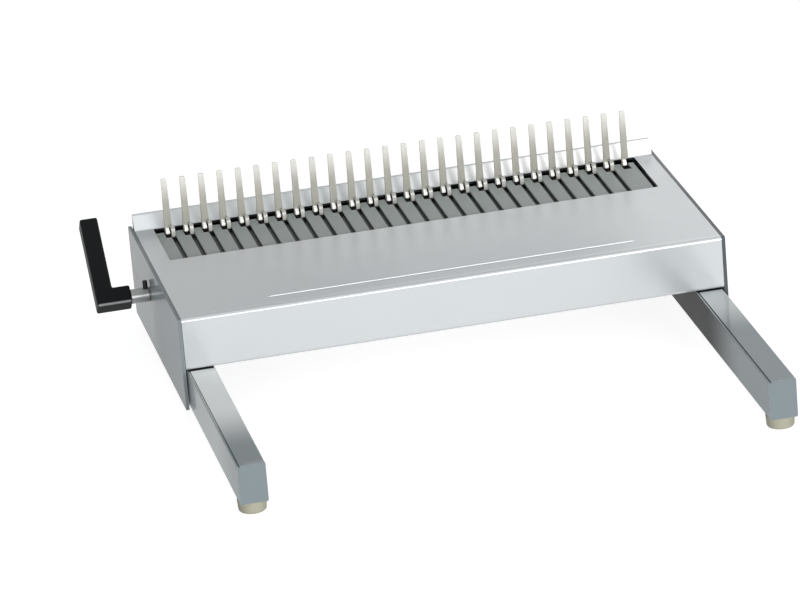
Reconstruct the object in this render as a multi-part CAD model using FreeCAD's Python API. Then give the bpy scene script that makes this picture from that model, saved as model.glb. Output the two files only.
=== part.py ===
import FreeCAD, Part
import math
import os

# Desk comb binding machine: 26 fixed fingers hold a plastic comb, and a crank on the left draws 25 hooks
# forward through slots in the top, by a pinion and rack at each side, to open the comb's rings.
#
# Millimetres. X runs to the user's right, Y to the rear, Z up. The origin is on the table, under the
# middle of the overall box.

V = FreeCAD.Vector

# ---- driving dimensions -------------------------------------------------------------------------

overall_width = 452.0        # crank tip to right side plate
overall_depth = 400.0        # leg fronts to rear edges of the side plates
overall_height = 122.0       # table to finger tips
body_width = 411.0           # outside of the side plates
body_depth = 212.0           # fascia to rear edges of the side plates
top_height = 79.5            # table to the flat top

foot_height = 9.0
foot_radius = 10.5
leg_height = 29.5
leg_width = 20.5
leg_gap = 1.2                # between a leg and its side plate, filled by spacers
hem_gap = 1.0                # between the legs and the cover

plate_sheet = 2.5            # side plates
cover_sheet = 1.5            # top cover
panel_sheet = 1.5            # rear panel
leg_sheet = 1.5              # legs
slot_sheet = 2.0             # slot plate
puller_sheet = 2.0           # puller plate
fit_gap = 0.3                # between the cover and each side plate

finger_count = 26
comb_pitch = 14.2875         # 9/16 inch, the pitch of plastic combs
finger_base = 5.6            # width at the top surface
finger_tip = 4.2
finger_sheet = 2.0
toe_depth = 3.0              # of the wedge in front of each finger's root
hook_offset = 2.7            # from a finger's centre to the hook in front of its right half
hook_width = 3.0
hook_sheet = 2.1
hook_height = 6.0            # above the flat top

shaft_radius = 4.0
gear_module = 1.5
pinion_teeth = 22
pressure_angle = math.radians(20.0)
tooth_slack = 0.12           # taken off each tooth's thickness
crank_turn = 150.0           # degrees from rest to fully open
crank_lean = 47.0            # degrees that the arm leans back from upright at rest

# ---- places worked out from them ----------------------------------------------------------------

front_y = -overall_depth / 2
rear_y = overall_depth / 2
fascia_y = rear_y - body_depth
right_outer = overall_width / 2
left_outer = right_outer - body_width
crank_tip_x = -overall_width / 2
right_inner = right_outer - plate_sheet
left_inner = left_outer + plate_sheet
middle_x = (left_outer + right_outer) / 2
leg_top = foot_height + leg_height
cover_bottom = leg_top + hem_gap

crease_y = fascia_y + 197.0                  # where the flat top turns up into the ridge
ridge_front_y = crease_y + 5.5
ridge_back_y = ridge_front_y + 3.0
ridge_top = top_height + 11.5

window_front = crease_y - 72.5
window_rear = crease_y - 1.0
window_half = 188.5

slot_top = top_height - cover_sheet
slot_bottom = slot_top - slot_sheet
slot_front = window_front + 3.0
slot_width = 3.8
slot_plate_half = 202.0
slot_plate_front = window_front - 8.5
slot_plate_rear = crease_y - 7.0

finger_front = crease_y - 12.0
finger_rear = finger_front + finger_sheet
notch_front = finger_front - 8.0
notch_half = finger_base / 2 + 0.3
finger_places = [middle_x + (i - (finger_count - 1) / 2) * comb_pitch for i in range(finger_count)]
hook_places = [x + hook_offset for x in finger_places[:-1]]

puller_top = slot_bottom - 1.0
puller_bottom = puller_top - puller_sheet
puller_front = slot_plate_front
puller_rear = notch_front - 0.5
puller_half = 195.7
hook_rear = finger_front - toe_depth - 0.6
hook_front = hook_rear - hook_sheet
tongue_front = puller_rear - 4.0
rack_rear = finger_front - 1.5

shaft_y = fascia_y + 131.0
shaft_z = 53.0
pitch_radius = gear_module * pinion_teeth / 2
tooth_pitch = math.pi * gear_module
addendum = gear_module
dedendum = 1.25 * gear_module
pitch_line = shaft_z + pitch_radius
pinion_offset = 150.0                        # from the middle to each pinion
gear_width = 8.0
hook_travel = math.radians(crank_turn) * pitch_radius

bar_front = finger_front - 6.0
bar_rear = bar_front + 10.0
bar_top = 66.0
bar_screw_y = fascia_y + 184.0
bar_screw_z = 47.5
front_rail_y = fascia_y + 64.0
front_rail_depth = 12.0
front_rail_height = 16.0

rail_width = 10.0
rail_top = slot_bottom
groove_depth = 3.4
groove_slack = 0.1
rail_front = front_rail_y
rail_rear = bar_rear + 5.0

hub_length = 26.6
arm_width = 13.5
arm_thick = 14.0
arm_reach = 67.0                             # shaft axis to the arm's end
collar_radius = 5.5
collar_length = 14.0
bush_radius = 6.0
bush_length = 6.0
running_gap = 0.05

# ---- shapes -------------------------------------------------------------------------------------


def box(x0, x1, y0, y1, z0, z1):
    """A block between two corners."""
    return Part.makeBox(x1 - x0, y1 - y0, z1 - z0, V(x0, y0, z0))


def rod_x(x0, x1, y, z, radius):
    """A round bar along X."""
    return Part.makeCylinder(radius, x1 - x0, V(x0, y, z), V(1, 0, 0))


def rod_z(z0, z1, x, y, radius):
    """A round bar along Z."""
    return Part.makeCylinder(radius, z1 - z0, V(x, y, z0), V(0, 0, 1))


def corner(before, point, after, radius):
    """The tangent arc that rounds one corner: its start, middle and end."""
    to_before = (before - point).normalize()
    to_after = (after - point).normalize()
    half_angle = to_before.getAngle(to_after) / 2
    setback = radius / math.tan(half_angle)
    bisector = (to_before + to_after).normalize()
    middle = point + bisector * (radius / math.sin(half_angle) - radius)
    return point + to_before * setback, middle, point + to_after * setback


def joined(points, radii):
    """Edges along an open line of points, each inner point rounded by its radius (0 leaves it sharp)."""
    edges = []
    start = points[0]
    for i in range(1, len(points) - 1):
        if radii[i] > 0:
            first, middle, last = corner(points[i - 1], points[i], points[i + 1], radii[i])
        else:
            first, middle, last = points[i], None, points[i]
        if (first - start).Length > 1e-6:
            edges.append(Part.LineSegment(start, first).toShape())
        if middle is not None:
            edges.append(Part.Arc(first, middle, last).toShape())
        start = last
    edges.append(Part.LineSegment(start, points[-1]).toShape())
    return edges


def closed_face(points, radii):
    """A flat face inside a closed outline, each point rounded by its radius."""
    anchor = (points[0] + points[-1]) * 0.5
    edges = joined([anchor] + points + [anchor], [0] + radii + [0])
    return Part.Face(Part.Wire(edges))


def across(outline, radii, x0, x1):
    """A bar along X whose section is an outline of (y, z) points."""
    face = closed_face([V(x0, y, z) for y, z in outline], radii)
    return face.extrude(V(x1 - x0, 0, 0))


def offset_line(points, distance):
    """The same open line of (y, z) points, moved to the right of its direction of travel."""
    moved = []
    directions = []
    for (y0, z0), (y1, z1) in zip(points, points[1:]):
        length = math.hypot(y1 - y0, z1 - z0)
        directions.append(((y1 - y0) / length, (z1 - z0) / length))
    for i, (y, z) in enumerate(points):
        before = directions[max(i - 1, 0)]
        after = directions[min(i, len(directions) - 1)]
        normal_y = before[1] + after[1]
        normal_z = -before[0] - after[0]
        scale = distance / (1 + before[0] * after[0] + before[1] * after[1])
        moved.append((y + normal_y * scale, z + normal_z * scale))
    return moved


def folded_sheet(line, radii, thickness, x0, x1):
    """A folded sheet along X. The line is its outer side, and the sheet lies to the right of it."""
    inner_radii = []
    for i, radius in enumerate(radii):
        if radius == 0:
            inner_radii.append(0)
            continue
        (ya, za), (yb, zb), (yc, zc) = line[i - 1], line[i], line[i + 1]
        turn = (yb - ya) * (zc - zb) - (zb - za) * (yc - yb)
        inner_radii.append(radius + thickness if turn > 0 else max(radius - thickness, 0))
    outer = joined([V(x0, y, z) for y, z in line], radii)
    inner = joined([V(x0, y, z) for y, z in offset_line(line, thickness)], inner_radii)
    ends = []
    for side in (0, -1):
        outer_end = V(x0, *line[side])
        inner_end = V(x0, *offset_line(line, thickness)[side])
        ends.append(Part.LineSegment(outer_end, inner_end).toShape())
    wire = Part.Wire(Part.__sortEdges__(outer + inner + ends))
    return Part.Face(wire).extrude(V(x1 - x0, 0, 0))


def countersunk(end, head_radius, shank_radius, head_depth, length, direction):
    """A countersunk screw whose flat head is flush at the given point."""
    head = Part.makeCone(head_radius, shank_radius, head_depth, end, direction)
    shank = Part.makeCylinder(shank_radius, length, end, direction)
    return head.fuse(shank).removeSplitter()


def headed(seat, head_radius, head_height, shank_radius, length, direction):
    """A screw whose head stands on its seat and whose shank runs on in the given direction."""
    head = Part.makeCylinder(head_radius, head_height, seat - direction * head_height, direction)
    shank = Part.makeCylinder(shank_radius, length, seat, direction)
    return head.fuse(shank).removeSplitter()


def mirrored(shape):
    """The same shape on the other side of the body's middle."""
    return shape.mirror(V(middle_x, 0, 0), V(1, 0, 0))


def both_sides(make):
    """A piece for the left side and its mirror image for the right."""
    left = make()
    return left, mirrored(left)


parts = {}


def keep(name, shape, *holes):
    """Store a piece, with the given shapes cut out of it."""
    for hole in holes:
        shape = shape.cut(hole)
    parts[name] = shape


def keep_group(name, shapes):
    """Store identical pieces in one node, as separate solids."""
    parts[name] = Part.makeCompound(shapes)


# ---- fasteners ----------------------------------------------------------------------------------


def mirrored_pairs(shapes):
    """Pieces on the left, and the same ones mirrored to the right."""
    return shapes + [mirrored(shape) for shape in shapes]


bar_screws = mirrored_pairs([
    countersunk(V(left_outer, bar_screw_y, bar_screw_z), 3.2, 2.0, 1.2, 14.0, V(1, 0, 0))])

panel_y = rear_y - 2.0                       # outer face of the rear panel, under its screws' heads
tab_width = 12.0
tab_bottom = 44.0
tab_top = 74.0
panel_screws = mirrored_pairs([
    headed(V(left_inner + tab_width / 2 + 0.5, panel_y, (tab_bottom + tab_top) / 2), 3.5, 2.0, 2.0,
           panel_sheet + plate_sheet, V(0, -1, 0))])

leg_outer = left_inner + leg_gap
leg_inner = leg_outer + leg_width
leg_middle = (leg_outer + leg_inner) / 2
leg_rear = rear_y - 2.0                      # the plug's flange fills the rest
spacer_places = [(fascia_y + 55.0, 24.0), (fascia_y + 180.0, 24.0)]
leg_spacers = mirrored_pairs([
    box(left_inner, leg_outer, y - 6.0, y + 6.0, z - 6.0, z + 6.0) for y, z in spacer_places])

foot_places = [(leg_middle, front_y + foot_radius + 0.5), (leg_middle, rear_y - foot_radius - 0.5)]

# ---- frame --------------------------------------------------------------------------------------


def side_plate():
    """The left side plate: flat, with a welded tab inside its rear edge for the rear panel."""
    outline = [(fascia_y, foot_height), (rear_y, foot_height), (rear_y, top_height), (fascia_y, top_height)]
    plate = across(outline, [0, 0, 2.0, 1.5], left_outer, left_inner)
    tab = box(left_inner, left_inner + tab_width, panel_y - panel_sheet - plate_sheet, panel_y - panel_sheet,
              tab_bottom, tab_top)
    plate = plate.fuse(tab).removeSplitter()
    return plate.cut(rod_x(left_outer, left_inner, shaft_y, shaft_z, bush_radius))


for plate_name, plate in zip(("left_side_plate", "right_side_plate"), both_sides(side_plate)):
    keep(plate_name, plate, *bar_screws, *panel_screws)


def leg():
    """The left leg: a box section with rounded edges, bent over at the front and open at the rear."""
    side = [(front_y, foot_height), (leg_rear, foot_height), (leg_rear, leg_top), (front_y, leg_top)]
    side_form = across(side, [1.5, 0, 0, 4.0], leg_outer, leg_inner)
    section = [V(leg_outer, front_y, foot_height), V(leg_inner, front_y, foot_height),
               V(leg_inner, front_y, leg_top), V(leg_outer, front_y, leg_top)]
    bar = closed_face(section, [1.2] * 4).extrude(V(0, leg_rear - front_y, 0))
    room = box(leg_outer + leg_sheet, leg_inner - leg_sheet, front_y + leg_sheet, leg_rear + 1,
               foot_height + leg_sheet, leg_top - leg_sheet)
    return bar.common(side_form).cut(room)


for leg_name, piece in zip(("left_leg", "right_leg"), both_sides(leg)):
    keep(leg_name, piece)


def leg_plug():
    """The plastic plug that closes a leg's rear end: a flange and a short hollow body."""
    flange_outline = [(leg_rear, foot_height), (rear_y, foot_height), (rear_y, leg_top), (leg_rear, leg_top)]
    flange = across(flange_outline, [0, 1.0, 1.0, 0], leg_outer, leg_inner)
    body = box(leg_outer + leg_sheet, leg_inner - leg_sheet, leg_rear - 3.0, leg_rear,
               foot_height + leg_sheet, leg_top - leg_sheet)
    return flange.fuse(body).removeSplitter()


for plug_name, plug in zip(("left_leg_plug", "right_leg_plug"), both_sides(leg_plug)):
    keep(plug_name, plug)


for place, (x, y) in zip(("front", "rear"), foot_places):
    left_foot = rod_z(0, foot_height, x, y, foot_radius)
    keep("foot_" + place + "_left", left_foot)
    keep("foot_" + place + "_right", mirrored(left_foot))

keep_group("leg_spacers", leg_spacers)
keep_group("bar_screws", bar_screws)
keep_group("rear_panel_screws", panel_screws)


def front_rail():
    """The tube that ties the side plates together in front."""
    wall = 1.5
    rail_rear_y = front_rail_y + front_rail_depth
    bottom = bar_top - front_rail_height
    outer = [(front_rail_y, bottom), (rail_rear_y, bottom), (rail_rear_y, bar_top), (front_rail_y, bar_top)]
    tube = across(outer, [2.0] * 4, left_inner, right_inner)
    inside = box(left_inner, right_inner, front_rail_y + wall, rail_rear_y - wall,
                 bottom + wall, bar_top - wall)
    return tube.cut(inside)


keep("front_rail", front_rail())


def slide_rail():
    """The left slide rail, grooved on its inner side for the puller plate's edge."""
    rail = box(left_inner, left_inner + rail_width, rail_front, rail_rear, bar_top, rail_top)
    groove = box(left_inner + rail_width - groove_depth, left_inner + rail_width,
                 puller_front - hook_travel - 0.3, puller_rear + 0.3,
                 puller_bottom - groove_slack, puller_top + groove_slack)
    return rail.cut(groove)


for rail_name, rail in zip(("left_slide_rail", "right_slide_rail"), both_sides(slide_rail)):
    keep(rail_name, rail)

# ---- covers -------------------------------------------------------------------------------------


def top_cover():
    """The top cover: hem, fascia, flat top and ridge, folded from one sheet, with the slot plate's window."""
    hem_depth = 12.0
    line = [(fascia_y + hem_depth, cover_bottom), (fascia_y, cover_bottom), (fascia_y, top_height),
            (crease_y, top_height), (ridge_front_y, ridge_top), (ridge_back_y, ridge_top),
            (ridge_back_y, top_height - cover_sheet)]
    cover = folded_sheet(line, [0, 2.5, 2.5, 1.0, 1.6, 1.6, 0], cover_sheet,
                         left_inner + fit_gap, right_inner - fit_gap)
    window = box(middle_x - window_half, middle_x + window_half, window_front, window_rear,
                 slot_top - 1, top_height + 1)
    return cover.cut(window)


keep("top_cover", top_cover())


def rear_panel():
    """The rear panel, with a flange under the ridge and one at the bottom."""
    panel_bottom = cover_bottom + 1.5
    line = [(ridge_front_y - 2.5, slot_top), (panel_y, slot_top), (panel_y, panel_bottom),
            (panel_y - 10.0, panel_bottom)]
    return folded_sheet(line, [0, 2.2, 2.2, 0], panel_sheet, left_inner + fit_gap, right_inner - fit_gap)


keep("rear_panel", rear_panel(), *panel_screws)


def slot_plate():
    """The slot plate: a slot for each hook, widened at the rear into the notch that a finger stands in."""
    plate = box(middle_x - slot_plate_half, middle_x + slot_plate_half, slot_plate_front, slot_plate_rear,
                slot_bottom, slot_top)
    half_slot = slot_width / 2
    rear_edge = slot_plate_rear + 1
    slots = [box(x - half_slot, x + half_slot, slot_front, rear_edge, slot_bottom, slot_top)
             for x in hook_places]
    notches = [box(x - notch_half, x + hook_offset + half_slot, notch_front, rear_edge, slot_bottom, slot_top)
               for x in finger_places[:-1]]
    last_finger = finger_places[-1]
    last_notch = box(last_finger - notch_half, last_finger + notch_half, notch_front, rear_edge,
                     slot_bottom, slot_top)
    return plate.cut(slots + notches + [last_notch])


keep("slot_plate", slot_plate())

# ---- fingers ------------------------------------------------------------------------------------

socket_depth = 10.0


def finger(x):
    """One fixed finger: a tapered blade with cut tip corners and a sloped toe in front of its root."""
    half_base = finger_base / 2
    half_tip = finger_tip / 2
    tip_corner = 0.9
    right_side = [(half_base, bar_top - socket_depth), (half_base, top_height + 3.0),
                  (half_tip, overall_height - tip_corner), (half_tip - tip_corner, overall_height)]
    left_side = [(-across_x, z) for across_x, z in reversed(right_side)]
    outline = [V(x + across_x, finger_front, z) for across_x, z in right_side + left_side]
    blade = Part.Face(Part.makePolygon(outline + outline[:1])).extrude(V(0, finger_sheet, 0))
    toe_front = finger_front - toe_depth
    toe_bottom = slot_top + 1.0
    toe_outline = [(finger_front, toe_bottom), (toe_front, toe_bottom),
                   (toe_front, toe_bottom + 2.0), (finger_front, toe_bottom + 4.5)]
    toe = across(toe_outline, [0] * 4, x - half_base, x + half_base)
    return blade.fuse(toe).removeSplitter()


keep_group("fixed_fingers", [finger(x) for x in finger_places])


def finger_bar():
    """The bar that ties the side plates at the rear, with a socket for the foot of each finger."""
    bar = box(left_inner, right_inner, bar_front, bar_rear, leg_top, bar_top)
    sockets = [box(x - finger_base / 2, x + finger_base / 2, finger_front, finger_rear,
                   bar_top - socket_depth, bar_top) for x in finger_places]
    return bar.cut(sockets)


keep("finger_bar", finger_bar(), *bar_screws)

# ---- puller -------------------------------------------------------------------------------------


def puller_plate():
    """The puller plate, notched along its rear edge for the hooks' tongues."""
    plate = box(middle_x - puller_half, middle_x + puller_half, puller_front, puller_rear,
                puller_bottom, puller_top)
    notches = [box(x - hook_width / 2, x + hook_width / 2, tongue_front, puller_rear,
                   puller_bottom, puller_top) for x in hook_places]
    return plate.cut(notches)


keep("puller_plate", puller_plate())


def hook(x):
    """One pull hook: a tongue on the puller plate, a post in front of a finger's toe and a nose over it."""
    crown = top_height + hook_height
    outline = [(tongue_front, puller_bottom), (hook_rear, puller_bottom), (hook_rear, crown - 3.6),
               (hook_rear + 2.6, crown - 1.8), (hook_rear + 2.8, crown - 0.6), (hook_rear + 1.2, crown),
               (hook_front + 1.2, crown - 1.2), (hook_front, crown - 3.4), (hook_front, puller_top),
               (tongue_front, puller_top)]
    return across(outline, [0] * len(outline), x - hook_width / 2, x + hook_width / 2)


keep_group("pull_hooks", [hook(x) for x in hook_places])


def rack():
    """The left rack: a bar with its teeth below, welded under the puller plate."""
    root = pitch_line + dedendum
    tip = pitch_line - addendum
    half_pitch = tooth_pitch / 2 - tooth_slack
    half_tip = half_pitch / 2 - addendum * math.tan(pressure_angle)
    half_root = half_pitch / 2 + dedendum * math.tan(pressure_angle)
    front = puller_front + 2.0
    outline = [(rack_rear, puller_bottom), (front, puller_bottom), (front, root)]
    for tooth in range(-2, 11):
        middle = shaft_y + (tooth + 0.5) * tooth_pitch
        outline += [(middle - half_root, root), (middle - half_tip, tip),
                    (middle + half_tip, tip), (middle + half_root, root)]
    outline.append((rack_rear, root))
    left = middle_x - pinion_offset - gear_width / 2
    return across(outline, [0] * len(outline), left, left + gear_width)


for rack_name, piece in zip(("left_rack", "right_rack"), both_sides(rack)):
    keep(rack_name, piece)

# ---- crank --------------------------------------------------------------------------------------

ring_x = left_outer + bush_length + 0.2
hub_inner_x = crank_tip_x + hub_length
bore_end_x = crank_tip_x + 6.5
shaft_end_x = right_outer - 1.0


def involute(angle):
    """The involute function of an angle."""
    return math.tan(angle) - angle


def half_tooth_angle(radius):
    """Half the angle that a pinion tooth takes up at a radius, on an involute flank above the base circle."""
    base_radius = pitch_radius * math.cos(pressure_angle)
    half_thickness = (tooth_pitch / 2 - tooth_slack) / 2
    lean = math.acos(base_radius / max(radius, base_radius))
    return half_thickness / pitch_radius + involute(pressure_angle) - involute(lean)


def pinion():
    """The left pinion, pressed on the shaft. One tooth points straight up, into the middle of a rack gap."""
    left = middle_x - pinion_offset - gear_width / 2
    radii = (pitch_radius - dedendum, pitch_radius, pitch_radius + addendum)
    outline = []
    for tooth in range(pinion_teeth):
        middle = math.pi / 2 + tooth * 2 * math.pi / pinion_teeth
        rising = [(radius, middle - half_tooth_angle(radius)) for radius in radii]
        falling = [(radius, middle + half_tooth_angle(radius)) for radius in reversed(radii)]
        for radius, angle in rising + falling:
            outline.append(V(left, shaft_y + radius * math.cos(angle), shaft_z + radius * math.sin(angle)))
    disc = Part.Face(Part.makePolygon(outline + outline[:1])).extrude(V(gear_width, 0, 0))
    return disc.cut(rod_x(left, left + gear_width, shaft_y, shaft_z, shaft_radius))


for pinion_name, piece in zip(("left_pinion", "right_pinion"), both_sides(pinion)):
    keep(pinion_name, piece)

keep("crank_shaft", rod_x(bore_end_x, shaft_end_x, shaft_y, shaft_z, shaft_radius))


def retaining_ring():
    """The spring clip that grips the shaft beside the left bush, open on one side."""
    ring_end = ring_x + 1.2
    ring = rod_x(ring_x, ring_end, shaft_y, shaft_z, 6.5).cut(
        rod_x(ring_x, ring_end, shaft_y, shaft_z, shaft_radius))
    mouth = box(ring_x, ring_end, shaft_y - 2.6, shaft_y + 2.6, shaft_z - 8.0, shaft_z)
    return ring.cut(mouth)


keep("retaining_ring", retaining_ring())


def bush():
    """The left plain bearing, a sleeve pressed into the side plate from outside and level with it there."""
    sleeve = rod_x(left_outer, left_outer + bush_length, shaft_y, shaft_z, bush_radius)
    return sleeve.cut(rod_x(left_outer, left_outer + bush_length, shaft_y, shaft_z, shaft_radius + running_gap))


for bush_name, piece in zip(("left_bush", "right_bush"), both_sides(bush)):
    keep(bush_name, piece)

collar_x = hub_inner_x + collar_length
collar_screw_x = collar_x - 2.3
collar_screw_top = shaft_z + 11.0
collar_screw_radius = 1.8
collar_screw = rod_z(shaft_z + shaft_radius, collar_screw_top, collar_screw_x, shaft_y, collar_screw_radius)
keep("collar_screw", collar_screw)
keep("shaft_collar",
     rod_x(hub_inner_x, collar_x, shaft_y, shaft_z, collar_radius),
     rod_x(hub_inner_x, collar_x, shaft_y, shaft_z, shaft_radius),
     rod_z(shaft_z, collar_screw_top, collar_screw_x, shaft_y, collar_screw_radius))


def leaned(shape):
    """Turn a shape made upright about the shaft, back to the crank's rest position."""
    turned = shape.copy()
    turned.rotate(V(0, shaft_y, shaft_z), V(1, 0, 0), -crank_lean)
    return turned


def crank_lever():
    """The crank: an arm and a hub block in one L-shaped moulding with rounded edges."""
    half = arm_thick / 2
    arm_inner_x = crank_tip_x + arm_width
    front = shaft_y - half
    rear = shaft_y + half
    bottom = shaft_z - half
    hub_outline = [(front, bottom), (rear, bottom), (rear, shaft_z + half), (front, shaft_z + half)]
    hub = across(hub_outline, [1.6] * 4, crank_tip_x + arm_width / 2, hub_inner_x)
    arm_section = [V(crank_tip_x, front, bottom), V(arm_inner_x, front, bottom),
                   V(arm_inner_x, rear, bottom), V(crank_tip_x, rear, bottom)]
    arm = closed_face(arm_section, [1.6] * 4).extrude(V(0, 0, half + arm_reach))
    bore = rod_x(bore_end_x, hub_inner_x, shaft_y, shaft_z, shaft_radius)
    return leaned(hub.fuse(arm).removeSplitter().cut(bore))


keep("crank_lever", crank_lever())

# ---- output -------------------------------------------------------------------------------------

os.makedirs("parts", exist_ok=True)
for name, shape in sorted(parts.items()):
    shape.exportStep(os.path.join("parts", name + ".step"))
    limits = shape.BoundBox
    print(name, len(shape.Solids), shape.isValid(), round(shape.Volume),
          "X", round(limits.XMin, 2), round(limits.XMax, 2),
          "Y", round(limits.YMin, 2), round(limits.YMax, 2),
          "Z", round(limits.ZMin, 2), round(limits.ZMax, 2))
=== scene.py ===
"""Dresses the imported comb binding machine: its camera, light and finishes, and every shape whose edges show.

Metres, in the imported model's frame: X to the user's right, Y to the rear, Z up.
"""
import logging
import math
from contextlib import contextmanager
from dataclasses import dataclass, replace
from enum import Enum
from functools import cached_property
from typing import Any, Callable, Iterator

import bmesh
import bpy
from mathutils import Matrix, Vector


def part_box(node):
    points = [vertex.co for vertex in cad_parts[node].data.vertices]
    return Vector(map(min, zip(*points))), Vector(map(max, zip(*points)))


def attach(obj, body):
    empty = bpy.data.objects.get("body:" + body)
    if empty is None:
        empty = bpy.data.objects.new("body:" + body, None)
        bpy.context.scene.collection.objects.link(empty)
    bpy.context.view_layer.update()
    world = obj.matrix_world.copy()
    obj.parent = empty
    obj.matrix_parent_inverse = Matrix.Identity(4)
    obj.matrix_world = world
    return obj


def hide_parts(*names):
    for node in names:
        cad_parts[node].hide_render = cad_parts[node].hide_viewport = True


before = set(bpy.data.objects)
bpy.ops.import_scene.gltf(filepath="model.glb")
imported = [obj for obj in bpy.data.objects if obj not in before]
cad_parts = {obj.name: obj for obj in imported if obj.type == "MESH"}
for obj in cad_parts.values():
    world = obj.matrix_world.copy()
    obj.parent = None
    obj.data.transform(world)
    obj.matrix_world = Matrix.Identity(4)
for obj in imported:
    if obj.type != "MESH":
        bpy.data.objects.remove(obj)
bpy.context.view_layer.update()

LOG = logging.getLogger("binding_machine")
MM = 0.001
SHAFT_Y = 119.0 * MM
SHAFT_Z = 53.0 * MM
WINDOW_RIGHT = 209.0 * MM
SAME = 0.01 * MM
TOWARDS = 0.5  # a normal that leans this far along an axis faces that way
SHARP_ANGLE = math.radians(35)
RIGHT_ANGLE = math.radians(90)
WHITE = (1.0, 1.0, 1.0, 1.0)
ORIGIN = (0.0, 0.0, 0.0)

Colour = tuple[int, int, int]
Point = tuple[float, float, float]
Piece = bpy.types.Object


class Body(Enum):
    """The three bodies that pieces ride on."""

    FRAME = "frame"
    CRANK = "crank"
    PULLER = "puller"


class Slot(Enum):
    """The record's material slots."""

    COVER = "cover_paint"
    FRAME = "frame_paint"
    PLATED = "plated_steel"
    SCREW = "screw_steel"
    BLACK_SCREW = "black_screw"
    BRONZE = "bearing_bronze"
    HANDLE = "black_handle"
    RUBBER = "foot_rubber"
    PLUG = "plug_plastic"


# ---- shader nodes --------------------------------------------------------------------------------


def linear(colour: Colour) -> tuple[float, float, float, float]:
    """A display colour as the linear colour that a shader socket holds.

    Args:
        colour: red, green and blue from 0 to 255.

    Returns:
        Linear red, green and blue, and an alpha of 1.
    """
    parts = []
    for byte in colour:
        share = byte / 255
        parts.append(share / 12.92 if share <= 0.04045 else ((share + 0.055) / 1.055) ** 2.4)
    return parts[0], parts[1], parts[2], 1.0


class Graph:
    """A node tree with short calls that add and join its nodes."""

    def __init__(self, tree: bpy.types.NodeTree) -> None:
        """Keep the tree that the nodes go into."""
        self.tree = tree

    @classmethod
    def of(cls, owner: bpy.types.Material | bpy.types.World) -> "Graph":
        """The emptied node tree of a new material or world."""
        owner.use_nodes = True
        owner.node_tree.nodes.clear()
        return cls(owner.node_tree)

    def node(self, kind: str, *ordered: Any, named: dict[str | int, Any] | None = None,
             **settings: Any) -> Any:
        """Add a node and fill its sockets.

        Args:
            kind: Blender's name of the node type, after the words ShaderNode.
            ordered: values or output sockets for the first inputs, in order. None skips one.
            named: the same for inputs given by name or number.
            settings: attributes of the node itself.

        Returns:
            The new node.
        """
        made = self.tree.nodes.new("ShaderNode" + kind)
        for key, value in settings.items():
            setattr(made, key, value)
        for socket, value in zip(made.inputs, ordered):
            self.fill(socket, value)
        for key, value in (named or {}).items():
            self.fill(made.inputs[key], value)
        return made

    def fill(self, socket: bpy.types.NodeSocket, value: Any) -> None:
        """Link an output socket to an input, or set the input's own value."""
        if isinstance(value, bpy.types.NodeSocket):
            self.tree.links.new(value, socket)
        elif value is not None:
            socket.default_value = value

    def blend(self, share: Any, first: Any, second: Any) -> Any:
        """Mix two colours.

        Args:
            share: how much of the second, from 0 to 1.
            first: the colour at 0.
            second: the colour at 1.

        Returns:
            The output socket of the mixed colour.
        """
        named = {"Factor": share, 6: first, 7: second}
        return self.node("Mix", data_type="RGBA", named=named).outputs[2]

    def group(self, tree: bpy.types.NodeTree, **named: Any) -> Any:
        """The output socket of a shared group, with its inputs given by name."""
        return self.node("Group", node_tree=tree, named=named).outputs[0]

    def math(self, operation: str, *values: Any) -> Any:
        """The output socket of a sum with one, two or three values."""
        return self.node("Math", *values, operation=operation).outputs[0]

    def product(self, shares: list[Any]) -> Any:
        """The output socket of several shares, multiplied.

        Args:
            shares: the output sockets, or plain numbers.

        Returns:
            The output socket of what they give together.
        """
        whole = shares[0]
        for share in shares[1:]:
            whole = self.math("MULTIPLY", whole, share)
        return whole

    def ramp(self, value: Any, start: float, end: float, low: float = 0.0, high: float = 1.0,
             soft: bool = False) -> Any:
        """Turn a value's way from a start to an end into a number.

        Args:
            value: the output socket of the value.
            start: where the number is low. It may be more than the end.
            end: where the number is high.
            low: the number up to the start.
            high: the number past the end.
            soft: whether the number changes gently at both.

        Returns:
            The output socket of the number.
        """
        return self.node("MapRange", value, start, end, low, high,
                         interpolation_type="SMOOTHSTEP" if soft else "LINEAR").outputs[0]

    def noise(self, vector: Any, scale: Any, detail: float, roughness: float = 0.5) -> Any:
        """The output socket of a noise that lies around a half."""
        return self.node("TexNoise", vector, named={"Scale": scale, "Detail": detail,
                                                    "Roughness": roughness}).outputs["Fac"]


class Spot:
    """Where a point of a surface lies on its piece, and which way the surface faces there."""

    def __init__(self, graph: Graph) -> None:
        """Add the node that tells both.

        Args:
            graph: the material's graph.
        """
        self.graph = graph
        self.told = graph.node("TexCoord").outputs
        self.place = self.told["Object"]

    @cached_property
    def along(self) -> Any:
        """The outputs X, Y and Z of the place."""
        return self.graph.node("SeparateXYZ", self.place).outputs

    @cached_property
    def facing(self) -> Any:
        """The outputs X, Y and Z of the way that the surface faces."""
        return self.graph.node("SeparateXYZ", self.told["Normal"]).outputs


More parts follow.
